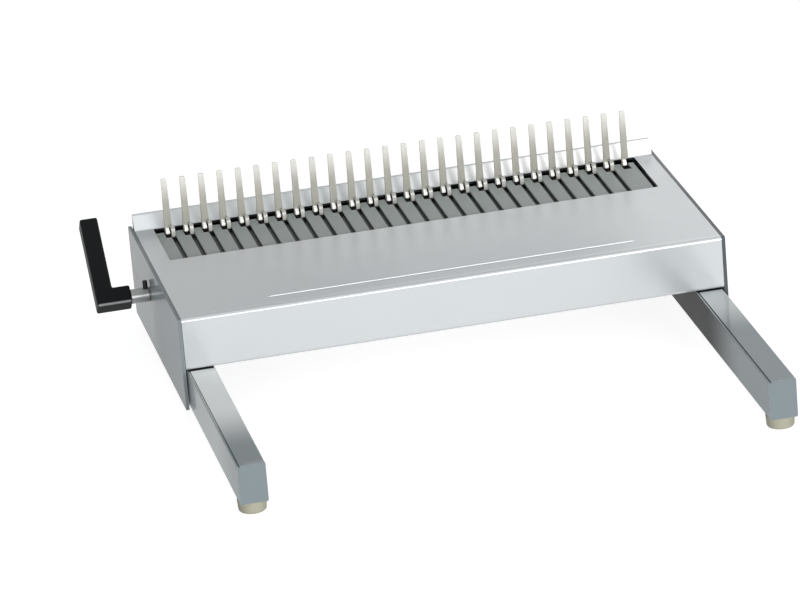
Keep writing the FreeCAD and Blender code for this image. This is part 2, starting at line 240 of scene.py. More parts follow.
class SharedGroups:
    """The effects that several finishes use, each built once as a node group with one output."""

    def __init__(self) -> None:
        """Build the groups."""
        self.colour_drift = self._colour_drift()
        self.value_drift = self._value_drift()
        self.skin = self._skin()
        self.edge_wear_and_highlight = self._edge_wear_and_highlight()
        self.brushed = self._brushed()

    @staticmethod
    def _start(name: str, **inputs: Any) -> tuple[Graph, Any]:
        """Start a group.

        Args:
            name: the group's name.
            inputs: default value by name: a number, a vector of three or a colour of four.

        Returns:
            The graph, and the sockets that give the inputs inside it.
        """
        tree = bpy.data.node_groups.new(name, "ShaderNodeTree")
        for key, value in inputs.items():
            kind = "Float" if isinstance(value, float) else {3: "Vector", 4: "Color"}[len(value)]
            socket = tree.interface.new_socket(key, in_out="INPUT", socket_type="NodeSocket" + kind)
            socket.default_value = value
        return Graph(tree), tree.nodes.new("NodeGroupInput").outputs

    @staticmethod
    def _end(graph: Graph, name: str, value: Any, kind: str = "Float") -> bpy.types.NodeTree:
        """Give a group its one output.

        Args:
            graph: the group's graph.
            name: the output's name.
            value: the socket that it puts out.
            kind: the output's type.

        Returns:
            The finished group.
        """
        graph.tree.interface.new_socket(name, in_out="OUTPUT", socket_type="NodeSocket" + kind)
        graph.fill(graph.tree.nodes.new("NodeGroupOutput").inputs[name], value)
        return graph.tree

    @staticmethod
    def _drift(graph: Graph, given: Any, base: Any, detail: float, roughness: float) -> Any:
        """A base that a noise raises and lowers by up to the group's amount.

        Args:
            graph: the group's graph.
            given: the group's inputs, among them Vector, Scale and Amount.
            base: the number, or its socket.
            detail: how many finer layers the noise has.
            roughness: how strong those layers are.

        Returns:
            The output socket of the changed number.
        """
        noise = graph.noise(given["Vector"], given["Scale"], detail, roughness)
        centred = graph.math("SUBTRACT", noise, 0.5)
        doubled = graph.math("MULTIPLY", given["Amount"], 2.0)
        return graph.math("MULTIPLY_ADD", centred, doubled, base)

    def _colour_drift(self) -> bpy.types.NodeTree:
        """A colour that grows slightly lighter and darker in soft patches.

        Returns:
            The group, with the output Colour.
        """
        graph, given = self._start("Colour drift", Vector=ORIGIN, Colour=WHITE, Scale=10.0, Amount=0.05)
        factor = self._drift(graph, given, 1.0, detail=3.0, roughness=0.55)
        scaled = graph.node("VectorMath", given["Colour"], named={"Scale": factor}, operation="SCALE")
        return self._end(graph, "Colour", scaled.outputs[0], "Color")

    def _value_drift(self) -> bpy.types.NodeTree:
        """A number, such as a roughness, that varies a little in patches."""
        graph, given = self._start("Value drift", Vector=ORIGIN, Base=0.4, Scale=30.0, Amount=0.05)
        return self._end(graph, "Value", self._drift(graph, given, given["Base"], detail=5.0, roughness=0.6))

    def _skin(self) -> bpy.types.NodeTree:
        """The fine pebbled skin of powder paint, moulded plastic or rubber, as a height.

        Returns:
            The group, with the output Height.
        """
        graph, given = self._start("Skin", Vector=ORIGIN, Scale=900.0, Speck=0.3)
        peel = graph.noise(given["Vector"], given["Scale"], detail=2.0)
        finer = graph.math("MULTIPLY", given["Scale"], 3.1)
        cells = graph.node("TexVoronoi", given["Vector"], named={"Scale": finer}).outputs["Distance"]
        return self._end(graph, "Height", graph.math("MULTIPLY_ADD", cells, given["Speck"], peel))

    def _edge_wear_and_highlight(self) -> bpy.types.NodeTree:
        """A broken mask along sharp edges: wear where handling has rubbed the surface, and on the black handle
        a painted edge highlight.

        Returns:
            The group, with the output Mask.
        """
        graph, given = self._start("Edge wear", Vector=ORIGIN, Radius=0.8 * MM, Scale=150.0, Amount=0.5)
        rounded = graph.node("Bevel", given["Radius"], samples=4).outputs[0]
        flat = graph.node("NewGeometry").outputs["Normal"]
        agreement = graph.node("VectorMath", rounded, flat, operation="DOT_PRODUCT").outputs["Value"]
        edge = graph.ramp(agreement, 1.0, 0.85)
        broken = graph.ramp(graph.noise(given["Vector"], given["Scale"], detail=4.0), 0.4, 0.62)
        return self._end(graph, "Mask", graph.product([edge, broken, given["Amount"]]))

    def _brushed(self) -> bpy.types.NodeTree:
        """Fine drawn lines along one direction: the vector is squeezed across them.

        Returns:
            The group, with the output Lines.
        """
        graph, given = self._start("Brushed", Vector=ORIGIN, Stretch=(1.0, 1.0, 0.02), Scale=2500.0)
        squeezed = graph.node("VectorMath", given["Vector"], given["Stretch"], operation="MULTIPLY")
        return self._end(graph, "Lines",
                         graph.noise(squeezed.outputs[0], given["Scale"], detail=4.0, roughness=0.7))


# ---- finishes ------------------------------------------------------------------------------------


@dataclass(frozen=True)
class Fade:
    """A number that changes along one axis of a piece."""

    axis: str
    start: float
    end: float
    low: float = 0.0
    high: float = 1.0
    soft: bool = True
    both_ways: bool = False

    def followed(self, spot: Spot) -> Any:
        """The outputs X, Y and Z that the fade follows."""
        return spot.along

    def number(self, spot: Spot) -> Any:
        """The output socket of the number at a spot.

        Args:
            spot: the place on the piece and the way it faces.

        Returns:
            The socket of the number.
        """
        value = self.followed(spot)[self.axis]
        if self.both_ways:
            value = spot.graph.math("ABSOLUTE", value)
        return spot.graph.ramp(value, self.start, self.end, self.low, self.high, self.soft)


@dataclass(frozen=True)
class Facing(Fade):
    """A number that changes with the way that the surface faces."""

    soft: bool = False

    def followed(self, spot: Spot) -> Any:
        """The outputs X, Y and Z of that way."""
        return spot.facing


def overlap(spot: Spot, fades: tuple[Fade, ...]) -> Any:
    """The output socket of a share that is high only where all of these fades are."""
    return spot.graph.product([fade.number(spot) for fade in fades])


@dataclass(frozen=True)
class Zone:
    """A part of a surface that has another colour: where all of its fades are high."""

    colour: Colour
    fades: tuple[Fade, ...]

    def over(self, spot: Spot, colour: Any) -> Any:
        """Another colour with this zone's own laid over it."""
        return spot.graph.blend(overlap(spot, self.fades), colour, linear(self.colour))


@dataclass(frozen=True)
class Finish:
    """What every finish has: its name, the record's slot, its plain values and its zones."""

    title: str
    slot: Slot
    colour: Colour
    roughness: float
    metallic: float = 0.0
    coat: float = 0.0
    coat_roughness: float = 0.1
    specular: float = 0.5
    zones: tuple[Zone, ...] = ()

    def material(self, groups: SharedGroups) -> bpy.types.Material:
        """The material of this finish, built the first time it is asked for.

        Args:
            groups: the shared node groups.

        Returns:
            The material.
        """
        found = bpy.data.materials.get(self.title)
        if found is not None:
            return found
        made = bpy.data.materials.new(self.title)
        graph = Graph.of(made)
        shader = graph.node("BsdfPrincipled", named={
            "Metallic": self.metallic, "Specular IOR Level": self.specular, "Coat Weight": self.coat,
            "Coat Roughness": self.coat_roughness})
        self.shade(graph, shader, groups, Spot(graph))
        graph.node("OutputMaterial", shader.outputs[0])
        return made

    def shade(self, graph: Graph, shader: Any, groups: SharedGroups, spot: Spot) -> None:
        """Fill the shader's colour, roughness and normal. Each kind of finish does it its own way."""
        raise NotImplementedError

    def zoned(self, spot: Spot, colour: Any) -> Any:
        """A colour with the zones laid over it in order."""
        for zone in self.zones:
            colour = zone.over(spot, colour)
        return colour

    @staticmethod
    def lay(graph: Graph, shader: Any, colour: Any, rough: Any, height: Any, depth: float) -> None:
        """Link the shader's sockets.

        Args:
            graph: the material's graph.
            shader: its shader.
            colour: the base colour.
            rough: the roughness.
            height: the height of the fine relief, from 0 to about 1.
            depth: how deep that relief is.
        """
        bump = graph.node("Bump", named={"Distance": depth, "Height": height})
        graph.fill(shader.inputs["Base Color"], colour)
        graph.fill(shader.inputs["Roughness"], rough)
        graph.fill(shader.inputs["Normal"], bump.outputs["Normal"])


@dataclass(frozen=True)
class Paint(Finish):
    """Baked paint on sheet steel: soft patches, a fine skin and slightly rubbed edges.

    Its roughness can follow a fade, and its coat can have another weight where some fades are high.
    """

    drift: float = 0.03
    patch_scale: float = 9.0
    gloss: Fade | None = None
    gloss_drift: float = 0.05
    gloss_scale: float = 24.0
    coat_fades: tuple[Fade, ...] = ()
    coat_there: float = 0.0
    peel_scale: float = 700.0
    peel_height: float = 0.006 * MM
    rubbed: Colour = (225, 228, 230)
    wear: float = 0.25

    def shade(self, graph: Graph, shader: Any, groups: SharedGroups, spot: Spot) -> None:
        """Paint colour with patches and zones, rubbed at its edges.

        Args:
            graph: the material's graph.
            shader: its shader.
            groups: the shared node groups.
            spot: the place on the piece and the way it faces.
        """
        body = graph.group(groups.colour_drift, Vector=spot.place, Colour=linear(self.colour),
                           Scale=self.patch_scale, Amount=self.drift)
        edge_marks = graph.group(groups.edge_wear_and_highlight, Vector=spot.place, Amount=self.wear)
        colour = graph.blend(edge_marks, self.zoned(spot, body), linear(self.rubbed))
        base = self.gloss.number(spot) if self.gloss else self.roughness
        rough = graph.group(groups.value_drift, Vector=spot.place, Base=base, Scale=self.gloss_scale,
                            Amount=self.gloss_drift)
        if self.coat_fades:
            there = overlap(spot, self.coat_fades)
            graph.fill(shader.inputs["Coat Weight"], graph.ramp(there, 0.0, 1.0, self.coat, self.coat_there))
        peel = graph.group(groups.skin, Vector=spot.place, Scale=self.peel_scale)
        self.lay(graph, shader, colour, rough, peel, self.peel_height)


@dataclass(frozen=True)
class CoverPaint(Paint):
    """Cover paint with painted shade: its inner side is painted dark where it shows through the window."""

    # painted shade: the dark colour laid on the inner side
    inner: Colour = (26, 27, 28)
    painted_shade_front: float = 150.0 * MM
    painted_shade_top: float = 79.5 * MM
    painted_shade_facing: float = 0.3

    def zoned(self, spot: Spot, colour: Any) -> Any:
        """The colour with its zones, and painted shade on low rear faces that don't look back.

        Args:
            spot: the place on the piece and the way it faces.
            colour: the output socket of the paint's colour.

        Returns:
            The output socket of the whole colour.
        """
        graph = spot.graph
        inside = graph.product([graph.math("GREATER_THAN", spot.along["Y"], self.painted_shade_front),
                                graph.math("LESS_THAN", spot.along["Z"], self.painted_shade_top),
                                graph.math("LESS_THAN", spot.facing["Y"], self.painted_shade_facing)])
        return graph.blend(inside, super().zoned(spot, colour), linear(self.inner))


@dataclass(frozen=True)
class Metal(Finish):
    """Plated or machined metal with drawn lines along one direction."""

    stretch: Point = (1.0, 1.0, 0.03)
    line_scale: float = 1800.0
    line_height: float = 0.004 * MM
    line_gloss: float = 0.16
    drift: float = 0.08
    drift_scale: float = 45.0
    dull: Colour = (120, 118, 110)
    dull_share: float = 0.25

    def shade(self, graph: Graph, shader: Any, groups: SharedGroups, spot: Spot) -> None:
        """Metal colour with lines, duller spots between them, and zones.

        Args:
            graph: the material's graph.
            shader: its shader.
            groups: the shared node groups.
            spot: the place on the piece and the way it faces.
        """
        body = graph.group(groups.colour_drift, Vector=spot.place, Colour=linear(self.colour),
                           Scale=self.drift_scale, Amount=self.drift)
        lines = graph.group(groups.brushed, Vector=spot.place, Stretch=self.stretch, Scale=self.line_scale)
        shadow = graph.ramp(lines, 0.35, 0.7, self.dull_share, 0.0)
        colour = self.zoned(spot, graph.blend(shadow, body, linear(self.dull)))
        rough = graph.math("MULTIPLY_ADD", lines, self.line_gloss, self.roughness - self.line_gloss / 2)
        self.lay(graph, shader, colour, rough, lines, self.line_height)


@dataclass(frozen=True)
class Moulded(Finish):
    """Moulded plastic or rubber, with a fine skin and a pale mask along its edges: dust in its grain, and on
    the black handle a painted edge highlight.
    """

    skin_scale: float = 1500.0
    skin_height: float = 0.02 * MM
    skin_speck: float = 0.6
    drift: float = 0.06
    patch_scale: float = 60.0
    gloss_drift: float = 0.06
    gloss_scale: float = 90.0
    dust_and_highlight: Colour = (90, 90, 92)
    dust_and_highlight_share: float = 0.06
    dust_and_highlight_radius: float = 0.6 * MM
    dust_and_highlight_scale: float = 260.0

    def shade(self, graph: Graph, shader: Any, groups: SharedGroups, spot: Spot) -> None:
        """Plastic colour with dust and painted edge highlight along its edges, and zones.

        Args:
            graph: the material's graph.
            shader: its shader.
            groups: the shared node groups.
            spot: the place on the piece and the way it faces.
        """
        body = graph.group(groups.colour_drift, Vector=spot.place, Colour=linear(self.colour),
                           Scale=self.patch_scale, Amount=self.drift)
        edge_marks = graph.group(groups.edge_wear_and_highlight, Vector=spot.place, Radius=self.dust_and_highlight_radius,
                           Scale=self.dust_and_highlight_scale, Amount=self.dust_and_highlight_share)
        colour = self.zoned(spot, graph.blend(edge_marks, body, linear(self.dust_and_highlight)))
        rough = graph.group(groups.value_drift, Vector=spot.place, Base=self.roughness,
                            Scale=self.gloss_scale, Amount=self.gloss_drift)
        skin = graph.group(groups.skin, Vector=spot.place, Scale=self.skin_scale, Speck=self.skin_speck)
        self.lay(graph, shader, colour, rough, skin, self.skin_height)


UPWARD = Facing("Z", 0.8, 0.95)
LEFTWARD = Facing("X", -0.8, -0.95)
FORWARD = Facing("Y", -0.8, -0.95)
NOT_SIDEWAYS = Facing("X", 0.75, 0.55, both_ways=True)

# The fascia is smoother than the rest. The middle and the front of the top are darkened with painted shade,
# and the ridge is lightened towards the right with a painted highlight.
COVER_PAINT = CoverPaint(
    "Satin silver cover paint", Slot.COVER, (195, 199, 201), 0.31, metallic=0.45, specular=0.25,
    gloss=Fade("Y", -0.009, -0.005, 0.2, 0.31, soft=False),
    # painted shade: the middle and the front of the top darker
    zones=(Zone((172, 176, 179), (UPWARD, Fade("Y", 0.14, 0.0, low=0.25), Fade("X", 0.205, 0.1),
                                  Fade("X", -0.18, -0.05, low=0.45))),
           # painted highlight: the ridge lighter towards the right
           Zone((252, 253, 253), (Facing("Y", -0.5, -0.8), Fade("Y", 0.183, 0.187),
                                  Fade("X", -0.03, 0.17)))))

# The legs' tops carry a painted reflection, lighter near the cover, and painted shade under the cover's hem;
# the right leg's inner side carries painted shade near the cover, the left leg's left side painted light
# towards the rear, and the legs' front faces painted shade.
# painted shade on the leg tops under the cover's hem
LEG_HEM_SHADE = Zone((38, 40, 42), (UPWARD, Fade("Y", -0.0122, -0.0112)))
# painted shade: the legs' front faces darker
LEG_FRONT_SHADE = Zone((116, 126, 130), (FORWARD, Fade("Y", -0.1, -0.15)))
# painted shade on the right leg's inner side near the cover, where its coat is also thinner
RIGHT_LEG_SIDE_SHADE = (LEFTWARD, Fade("Y", -0.13, -0.035))
RIGHT_LEG_PAINT = Paint(
    "Blue grey right leg paint", Slot.FRAME, (130, 140, 144), 0.4, specular=0.05, coat=0.35,
    coat_roughness=0.07, rubbed=(180, 186, 190), coat_fades=RIGHT_LEG_SIDE_SHADE, coat_there=0.08,
    # painted reflection: the right leg's top lighter near the cover
    zones=(Zone((222, 227, 228), (UPWARD, Fade("Y", -0.1, -0.04, high=0.7))),
           Zone((18, 20, 21), RIGHT_LEG_SIDE_SHADE), LEG_HEM_SHADE, LEG_FRONT_SHADE))
LEFT_LEG_PAINT = replace(
    RIGHT_LEG_PAINT, title="Blue grey left leg paint", coat_fades=(),
    # painted reflection: the left leg's top lighter near the cover
    zones=(Zone((240, 244, 244), (UPWARD, Fade("Y", -0.17, -0.085))),
           # painted light: the left leg's left side lighter towards the rear
           Zone((216, 226, 228), (LEFTWARD, Fade("Y", -0.19, -0.1, high=0.5))), LEG_HEM_SHADE, LEG_FRONT_SHADE))

# The plates' edges are darkened with painted shade, the right plate's much more than the left's, and handling
# has dulled their coat in front.
LEFT_PLATE_PAINT = Paint(
    "Blue grey left plate paint", Slot.FRAME, (134, 145, 150), 0.4, specular=0.05, coat=0.26,
    coat_roughness=0.07, rubbed=(180, 186, 190), coat_fades=(Fade("Y", 0.085, 0.13),), coat_there=0.42,
    # painted shade: the left plate's edges darker
    zones=(Zone((120, 128, 132), (NOT_SIDEWAYS,)),))
RIGHT_PLATE_PAINT = replace(LEFT_PLATE_PAINT, title="Blue grey right plate paint",
                            # painted shade: the right plate's edges much darker
                            zones=(Zone((78, 84, 88), (NOT_SIDEWAYS,)),))
SLOT_PAINT = Paint("Grey slot plate paint", Slot.FRAME, (167, 175, 173), 0.45, specular=0.2,
                   rubbed=(190, 196, 196), drift=0.06, peel_scale=500.0, peel_height=0.02 * MM)

# A painted reflection lightens the tips, a painted highlight makes the toes near white, and painted shade
# makes the fingers black below the slotted plate.
FINGER_STEEL = Metal(
    "Nickel finger steel", Slot.PLATED, (159, 157, 148), 0.42, metallic=0.6,
    # painted reflection: the tips lighter
    zones=(Zone((196, 195, 190), (Fade("Z", 0.1, 0.123),)),
           # painted highlight: the toes near white
           Zone((250, 250, 247), (Fade("Y", 0.1728, 0.1724),)),
           # painted shade: the fingers black below the slotted plate
           Zone((26, 25, 23), (Fade("Z", 0.0785, 0.0781),))))
# A painted highlight lightens the hooks' tops, and painted shade makes them black below the slotted plate.
HOOK_STEEL = Metal(
    "Zinc hook steel", Slot.PLATED, (162, 162, 158), 0.4, metallic=0.55,
    zones=(Zone((176, 176, 172), (Fade("Z", 0.083, 0.0855),)),
           # painted shade: the hooks black below the slotted plate
           Zone((26, 25, 23), (Fade("Z", 0.0774, 0.077),))))
ALONG_X = (0.02, 1.0, 1.0)
NO_LINES = (1.0, 1.0, 1.0)
OILED_STEEL = Metal("Oiled dark steel", Slot.PLATED, (66, 67, 68), 0.42, metallic=0.7,
                    dull=(40, 40, 40), stretch=ALONG_X)
DRAWN_STEEL = Metal("Drawn plated steel", Slot.PLATED, (148, 152, 152), 0.34, metallic=0.9,
                    stretch=ALONG_X)
GEAR_STEEL = Metal("Cut gear steel", Slot.PLATED, (168, 168, 165), 0.4, metallic=0.9)
SCREW_STEEL = Metal("Bright screw steel", Slot.SCREW, (172, 174, 176), 0.32, metallic=0.95,
                    stretch=NO_LINES, line_scale=900.0)
BLACK_SCREW = Metal("Blackened screw steel", Slot.BLACK_SCREW, (34, 35, 37), 0.4, metallic=0.7,
                    dull=(18, 18, 19), stretch=NO_LINES)
BRONZE = Metal("Sintered bearing bronze", Slot.BRONZE, (168, 132, 84), 0.5, metallic=0.85,
               dull=(96, 72, 44), stretch=NO_LINES)

# A painted highlight runs along the hub's front corner, and the pale edge colour paints a highlight along the
# hub's other edges.
HANDLE_PLASTIC = Moulded(
    # the pale edge colour and its large share paint a highlight along the hub's edges
    "Black handle plastic", Slot.HANDLE, (15, 17, 18), 0.45, specular=0.09, dust_and_highlight=(150, 152, 155), dust_and_highlight_share=0.7,
    # painted highlight along the hub's front corner
    zones=(Zone((150, 152, 155), (Fade("Y", 0.1103, 0.1099, high=0.9, soft=False),)),))
FOOT_RUBBER = Moulded("Cream foot rubber", Slot.RUBBER, (155, 153, 137), 0.62, specular=0.2,
                      dust_and_highlight=(124, 121, 108), dust_and_highlight_share=0.3)
PLUG_PLASTIC = Moulded("Dark plug plastic", Slot.PLUG, (52, 55, 58), 0.5)


# ---- modelling tools -----------------------------------------------------------------------------


def near(a: float, b: float) -> bool:
    """Whether two lengths are the same."""
    return abs(a - b) < SAME


def at(place: Vector, **levels: float) -> bool:
    """Whether a place lies at all the given levels, such as y=0.1."""
    return all(near(getattr(place, axis), level) for axis, level in levels.items())


class Bench:
    """The modelling steps that the sub-assemblies share."""

    groups: SharedGroups

    @classmethod
    def prepare(cls) -> None:
        """Build the shared node groups."""
        cls.groups = SharedGroups()

    @staticmethod
    def pick(*pieces: Piece) -> None:
        """Select these pieces only, and make the first one active."""
        bpy.ops.object.select_all(action="DESELECT")
        for piece in pieces:
            piece.select_set(True)
        bpy.context.view_layer.objects.active = pieces[0]

    @classmethod
    @contextmanager
    def editing(cls, piece: Piece) -> Iterator[None]:
        """Edit mode on one piece.

        Args:
            piece: the piece.

        Returns:
            A context that leaves edit mode when it ends.
        """
        cls.pick(piece)
        bpy.ops.object.mode_set(mode="EDIT")
        try:
            yield
        finally:
            bpy.ops.object.mode_set(mode="OBJECT")

    @classmethod
    def settle(cls, piece: Piece, name: str) -> Piece:
        """Name a new primitive and put its place into its mesh.

        Args:
            piece: the primitive.
            name: its name.

        Returns:
            The same piece.
        """
        piece.name = name
        piece.data.name = name
        cls.pick(piece)
        bpy.ops.object.transform_apply(location=True, rotation=True, scale=True)
        return piece

    @classmethod
    def block(cls, name: str, low: Vector | Point, high: Vector | Point) -> Piece:
        """A block between two corners, ready to be shaped.

        Args:
            name: its name.
            low: its lowest corner.
            high: its highest corner.

        Returns:
            The new piece.
        """
        low, high = Vector(low), Vector(high)
        bpy.ops.object.select_all(action="DESELECT")
        bpy.ops.mesh.primitive_cube_add(size=1, location=(low + high) / 2)
        piece = bpy.context.object
        piece.scale = high - low
        return cls.settle(piece, name)

    @classmethod
    def flat(cls, name: str, low: Point, high: Point) -> Piece:
        """A level sheet without thickness between two corners, facing up, ready to be folded.

        Args:
            name: its name.
            low: its lowest corner.
            high: its highest corner.

        Returns:
            The new piece.
        """
        low, high = Vector(low), Vector(high)
        bpy.ops.object.select_all(action="DESELECT")
        bpy.ops.mesh.primitive_plane_add(size=1, location=(low + high) / 2)
        piece = bpy.context.object
        piece.scale = (high.x - low.x, high.y - low.y, 1.0)
        return cls.settle(piece, name)

    @classmethod
    def rod(cls, name: str, start: Point, end: Point, radius: float, sides: int = 48) -> Piece:
        """A round bar between two points, ready to be shaped.

        Args:
            name: its name.
            start: the middle of one end.
            end: the middle of the other.
            radius: its radius.
            sides: how many faces go round it.

        Returns:
            The new piece.
        """
        start, end = Vector(start), Vector(end)
        bpy.ops.object.select_all(action="DESELECT")
        bpy.ops.mesh.primitive_cylinder_add(vertices=sides, radius=radius, depth=(end - start).length,
                                            location=(start + end) / 2)
        piece = bpy.context.object
        piece.rotation_mode = "QUATERNION"
        piece.rotation_quaternion = (end - start).to_track_quat("Z", "Y")
        return cls.settle(piece, name)

    @classmethod
    def shaft_rod(cls, name: str, left: float, right: float, radius: float, sides: int = 48) -> Piece:
        """A round bar on the line of the crank's shaft, ready to be shaped."""
        return cls.rod(name, (left, SHAFT_Y, SHAFT_Z), (right, SHAFT_Y, SHAFT_Z), radius, sides)

    @staticmethod
    def _select(piece: Piece, kind: str, wanted: Callable[[Any], bool]) -> None:
        """Select the elements of one kind that pass a test, in edit mode.

        Args:
            piece: the piece being edited.
            kind: VERT, EDGE or FACE.
            wanted: the test.
        """
        bpy.ops.mesh.select_mode(type=kind)
        bpy.ops.mesh.select_all(action="DESELECT")
        mesh = bmesh.from_edit_mesh(piece.data)
        elements = {"VERT": mesh.verts, "EDGE": mesh.edges, "FACE": mesh.faces}[kind]
        for element in elements:
            if wanted(element):
                element.select_set(True)
        mesh.select_flush_mode()
        bmesh.update_edit_mesh(piece.data)

    @classmethod
    def faces(cls, piece: Piece, wanted: Callable[[Vector, Vector], bool]) -> None:
        """Select the faces whose middle and normal pass a test."""
        cls._select(piece, "FACE", lambda face: wanted(face.calc_center_median(), face.normal))

    @classmethod
    def edges(cls, piece: Piece, wanted: Callable[[Vector, Vector], bool]) -> None:
        """Select the edges whose two ends pass a test."""
        cls._select(piece, "EDGE", lambda edge: wanted(edge.verts[0].co, edge.verts[1].co))

    @classmethod
    def edges_at(cls, piece: Piece, **levels: float) -> None:
        """Select the edges that lie at all the given levels, such as y=0.1."""
        cls.edges(piece, lambda a, b: at(a, **levels) and at(b, **levels))

    @classmethod
    def edges_along(cls, piece: Piece, axis: str) -> None:
        """Select the edges that run along an axis."""
        cls.edges(piece, lambda a, b: all(near(getattr(a, other), getattr(b, other))
                                          for other in "xyz" if other != axis))

    @classmethod
    def points(cls, piece: Piece, wanted: Callable[[Vector], bool]) -> None:
        """Select the vertices whose place passes a test."""
        cls._select(piece, "VERT", lambda vertex: wanted(vertex.co))

    @classmethod
    def points_at(cls, piece: Piece, **levels: float) -> None:
        """Select the vertices that lie at all the given levels, such as y=0.1."""
        cls.points(piece, lambda p: at(p, **levels))

    @staticmethod
    def slice(axis: str, *levels: float) -> None:
        """Cut an edge line through all of the mesh being edited, across an axis at each level."""
        normal = Vector([float(name == axis) for name in "xyz"])
        for level in levels:
            bpy.ops.mesh.select_all(action="SELECT")
            bpy.ops.mesh.bisect(plane_co=normal * level, plane_no=normal)

    @staticmethod
    def pull(x: float = 0.0, y: float = 0.0, z: float = 0.0) -> None:
        """Extrude what is selected."""
        bpy.ops.mesh.extrude_region_move(TRANSFORM_OT_translate={"value": (x, y, z)})

    @staticmethod
    def move(x: float = 0.0, y: float = 0.0, z: float = 0.0) -> None:
        """Move what is selected."""
        bpy.ops.transform.translate(value=(x, y, z))

    @staticmethod
    def resize(centre: Point, x: float = 1.0, y: float = 1.0, z: float = 1.0) -> None:
        """Resize what is selected about a centre."""
        bpy.ops.transform.resize(value=(x, y, z), center_override=centre)

    @staticmethod
    def inset(*widths: float) -> None:
        """Inset the selected faces by each width in turn."""
        for width in widths:
            bpy.ops.mesh.inset(thickness=width, depth=0.0)

    @staticmethod
    def outward() -> None:
        """Point all faces of the mesh being edited the same way, outwards."""
        bpy.ops.mesh.select_all(action="SELECT")
        bpy.ops.mesh.normals_make_consistent(inside=False)

    @staticmethod
    def round_off(width: float, segments: int) -> None:
        """Bevel the selected edges with a round profile."""
        bpy.ops.mesh.bevel(offset=width, offset_type="OFFSET", segments=segments, profile=0.5,
                           affect="EDGES", clamp_overlap=False)

    @classmethod
    def round_at(cls, piece: Piece, width: float, segments: int, **levels: float) -> None:
        """Bevel the edges that lie at all the given levels."""
        cls.edges_at(piece, **levels)
        cls.round_off(width, segments)

    @classmethod
    def modify(cls, piece: Piece, kind: str, **settings: Any) -> None:
        """Add a modifier and apply it.

        Args:
            piece: the piece.
            kind: Blender's name of the modifier.
            **settings: the modifier's settings.
        """
        cls.pick(piece)
        modifier = piece.modifiers.new(kind, kind)
        for key, value in settings.items():
            setattr(modifier, key, value)
        bpy.ops.object.modifier_apply(modifier=modifier.name)

    @classmethod
    def _join_shapes(cls, piece: Piece, other: Piece, operation: str) -> None:
        """Add another shape to a piece, or take it away, and remove it."""
        cls.modify(piece, "BOOLEAN", object=other, operation=operation, solver="EXACT")
        bpy.data.objects.remove(other)

    @classmethod
    def cut(cls, piece: Piece, *cutters: Piece) -> None:
        """Cut other shapes out of a piece."""
        for cutter in cutters:
            cls._join_shapes(piece, cutter, "DIFFERENCE")

    @classmethod
    def add(cls, piece: Piece, other: Piece) -> None:
        """Melt another shape into a piece."""
        cls._join_shapes(piece, other, "UNION")

    @classmethod
    def soften(cls, piece: Piece, width: float, segments: int = 2) -> None:
        """Round every sharp edge of a piece a little."""
        cls.modify(piece, "BEVEL", width=width, segments=segments, limit_method="ANGLE",
                   angle_limit=SHARP_ANGLE, use_clamp_overlap=True)

    @classmethod
    def smooth(cls, piece: Piece) -> None:
        """Smooth shading over round stretches, with the flats kept flat.

        Args:
            piece: the piece.
        """
        with cls.editing(piece):
            bpy.ops.mesh.select_all(action="SELECT")
            bpy.ops.mesh.remove_doubles(threshold=SAME / 10)
            bpy.ops.mesh.normals_make_consistent(inside=False)
        cls.pick(piece)
        bpy.ops.object.shade_smooth_by_angle(angle=SHARP_ANGLE)
        cls.modify(piece, "WEIGHTED_NORMAL", keep_sharp=True, weight=60)

    @classmethod
    def copies(cls, piece: Piece, count: int, step: float) -> Piece:
        """Repeat a piece along X.

        Args:
            piece: the first one.
            count: how many there are in all.
            step: distance from each to the next.

        Returns:
            All of them in one piece.
        """
        row = [piece]
        for place in range(1, count):
            cls.pick(piece)
            bpy.ops.object.duplicate(linked=False)
            twin = bpy.context.object
            twin.location.x = step * place
            bpy.ops.object.transform_apply(location=True, rotation=False, scale=False)
            row.append(twin)
        cls.pick(*row)
        bpy.ops.object.join()
        return piece

    @classmethod
    def mirrored(cls, piece: Piece, name: str, middle: float) -> Piece:
        """The same piece on the other side of a middle plane.

        Args:
            piece: the piece on the left.
            name: the name of the new one.
            middle: x of the plane.

        Returns:
            The piece on the right.
        """
        cls.pick(piece)
        bpy.ops.object.duplicate(linked=False)
        twin = bpy.context.object
        twin.scale.x = -1.0
        twin.location.x = 2 * middle
        cls.settle(twin, name)
        with cls.editing(twin):
            cls.outward()
        return twin

    @classmethod
    def hand_over(cls, piece: Piece, body: Body, finish: Finish, *nodes: str) -> Piece:
        """Dress a finished piece and put it on its body.

        Args:
            piece: the piece, in place.
            body: the body that it rides on.
            finish: its surface.
            nodes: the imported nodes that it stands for.

        Returns:
            The same piece.
        """
        piece.data.materials.clear()
        piece.data.materials.append(finish.material(cls.groups))
        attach(piece, body.value)
        if nodes:
            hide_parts(*nodes)
        LOG.info("%s: %d faces, %s", piece.name, len(piece.data.polygons), finish.title)
        return piece


# ---- sub-assemblies ------------------------------------------------------------------------------


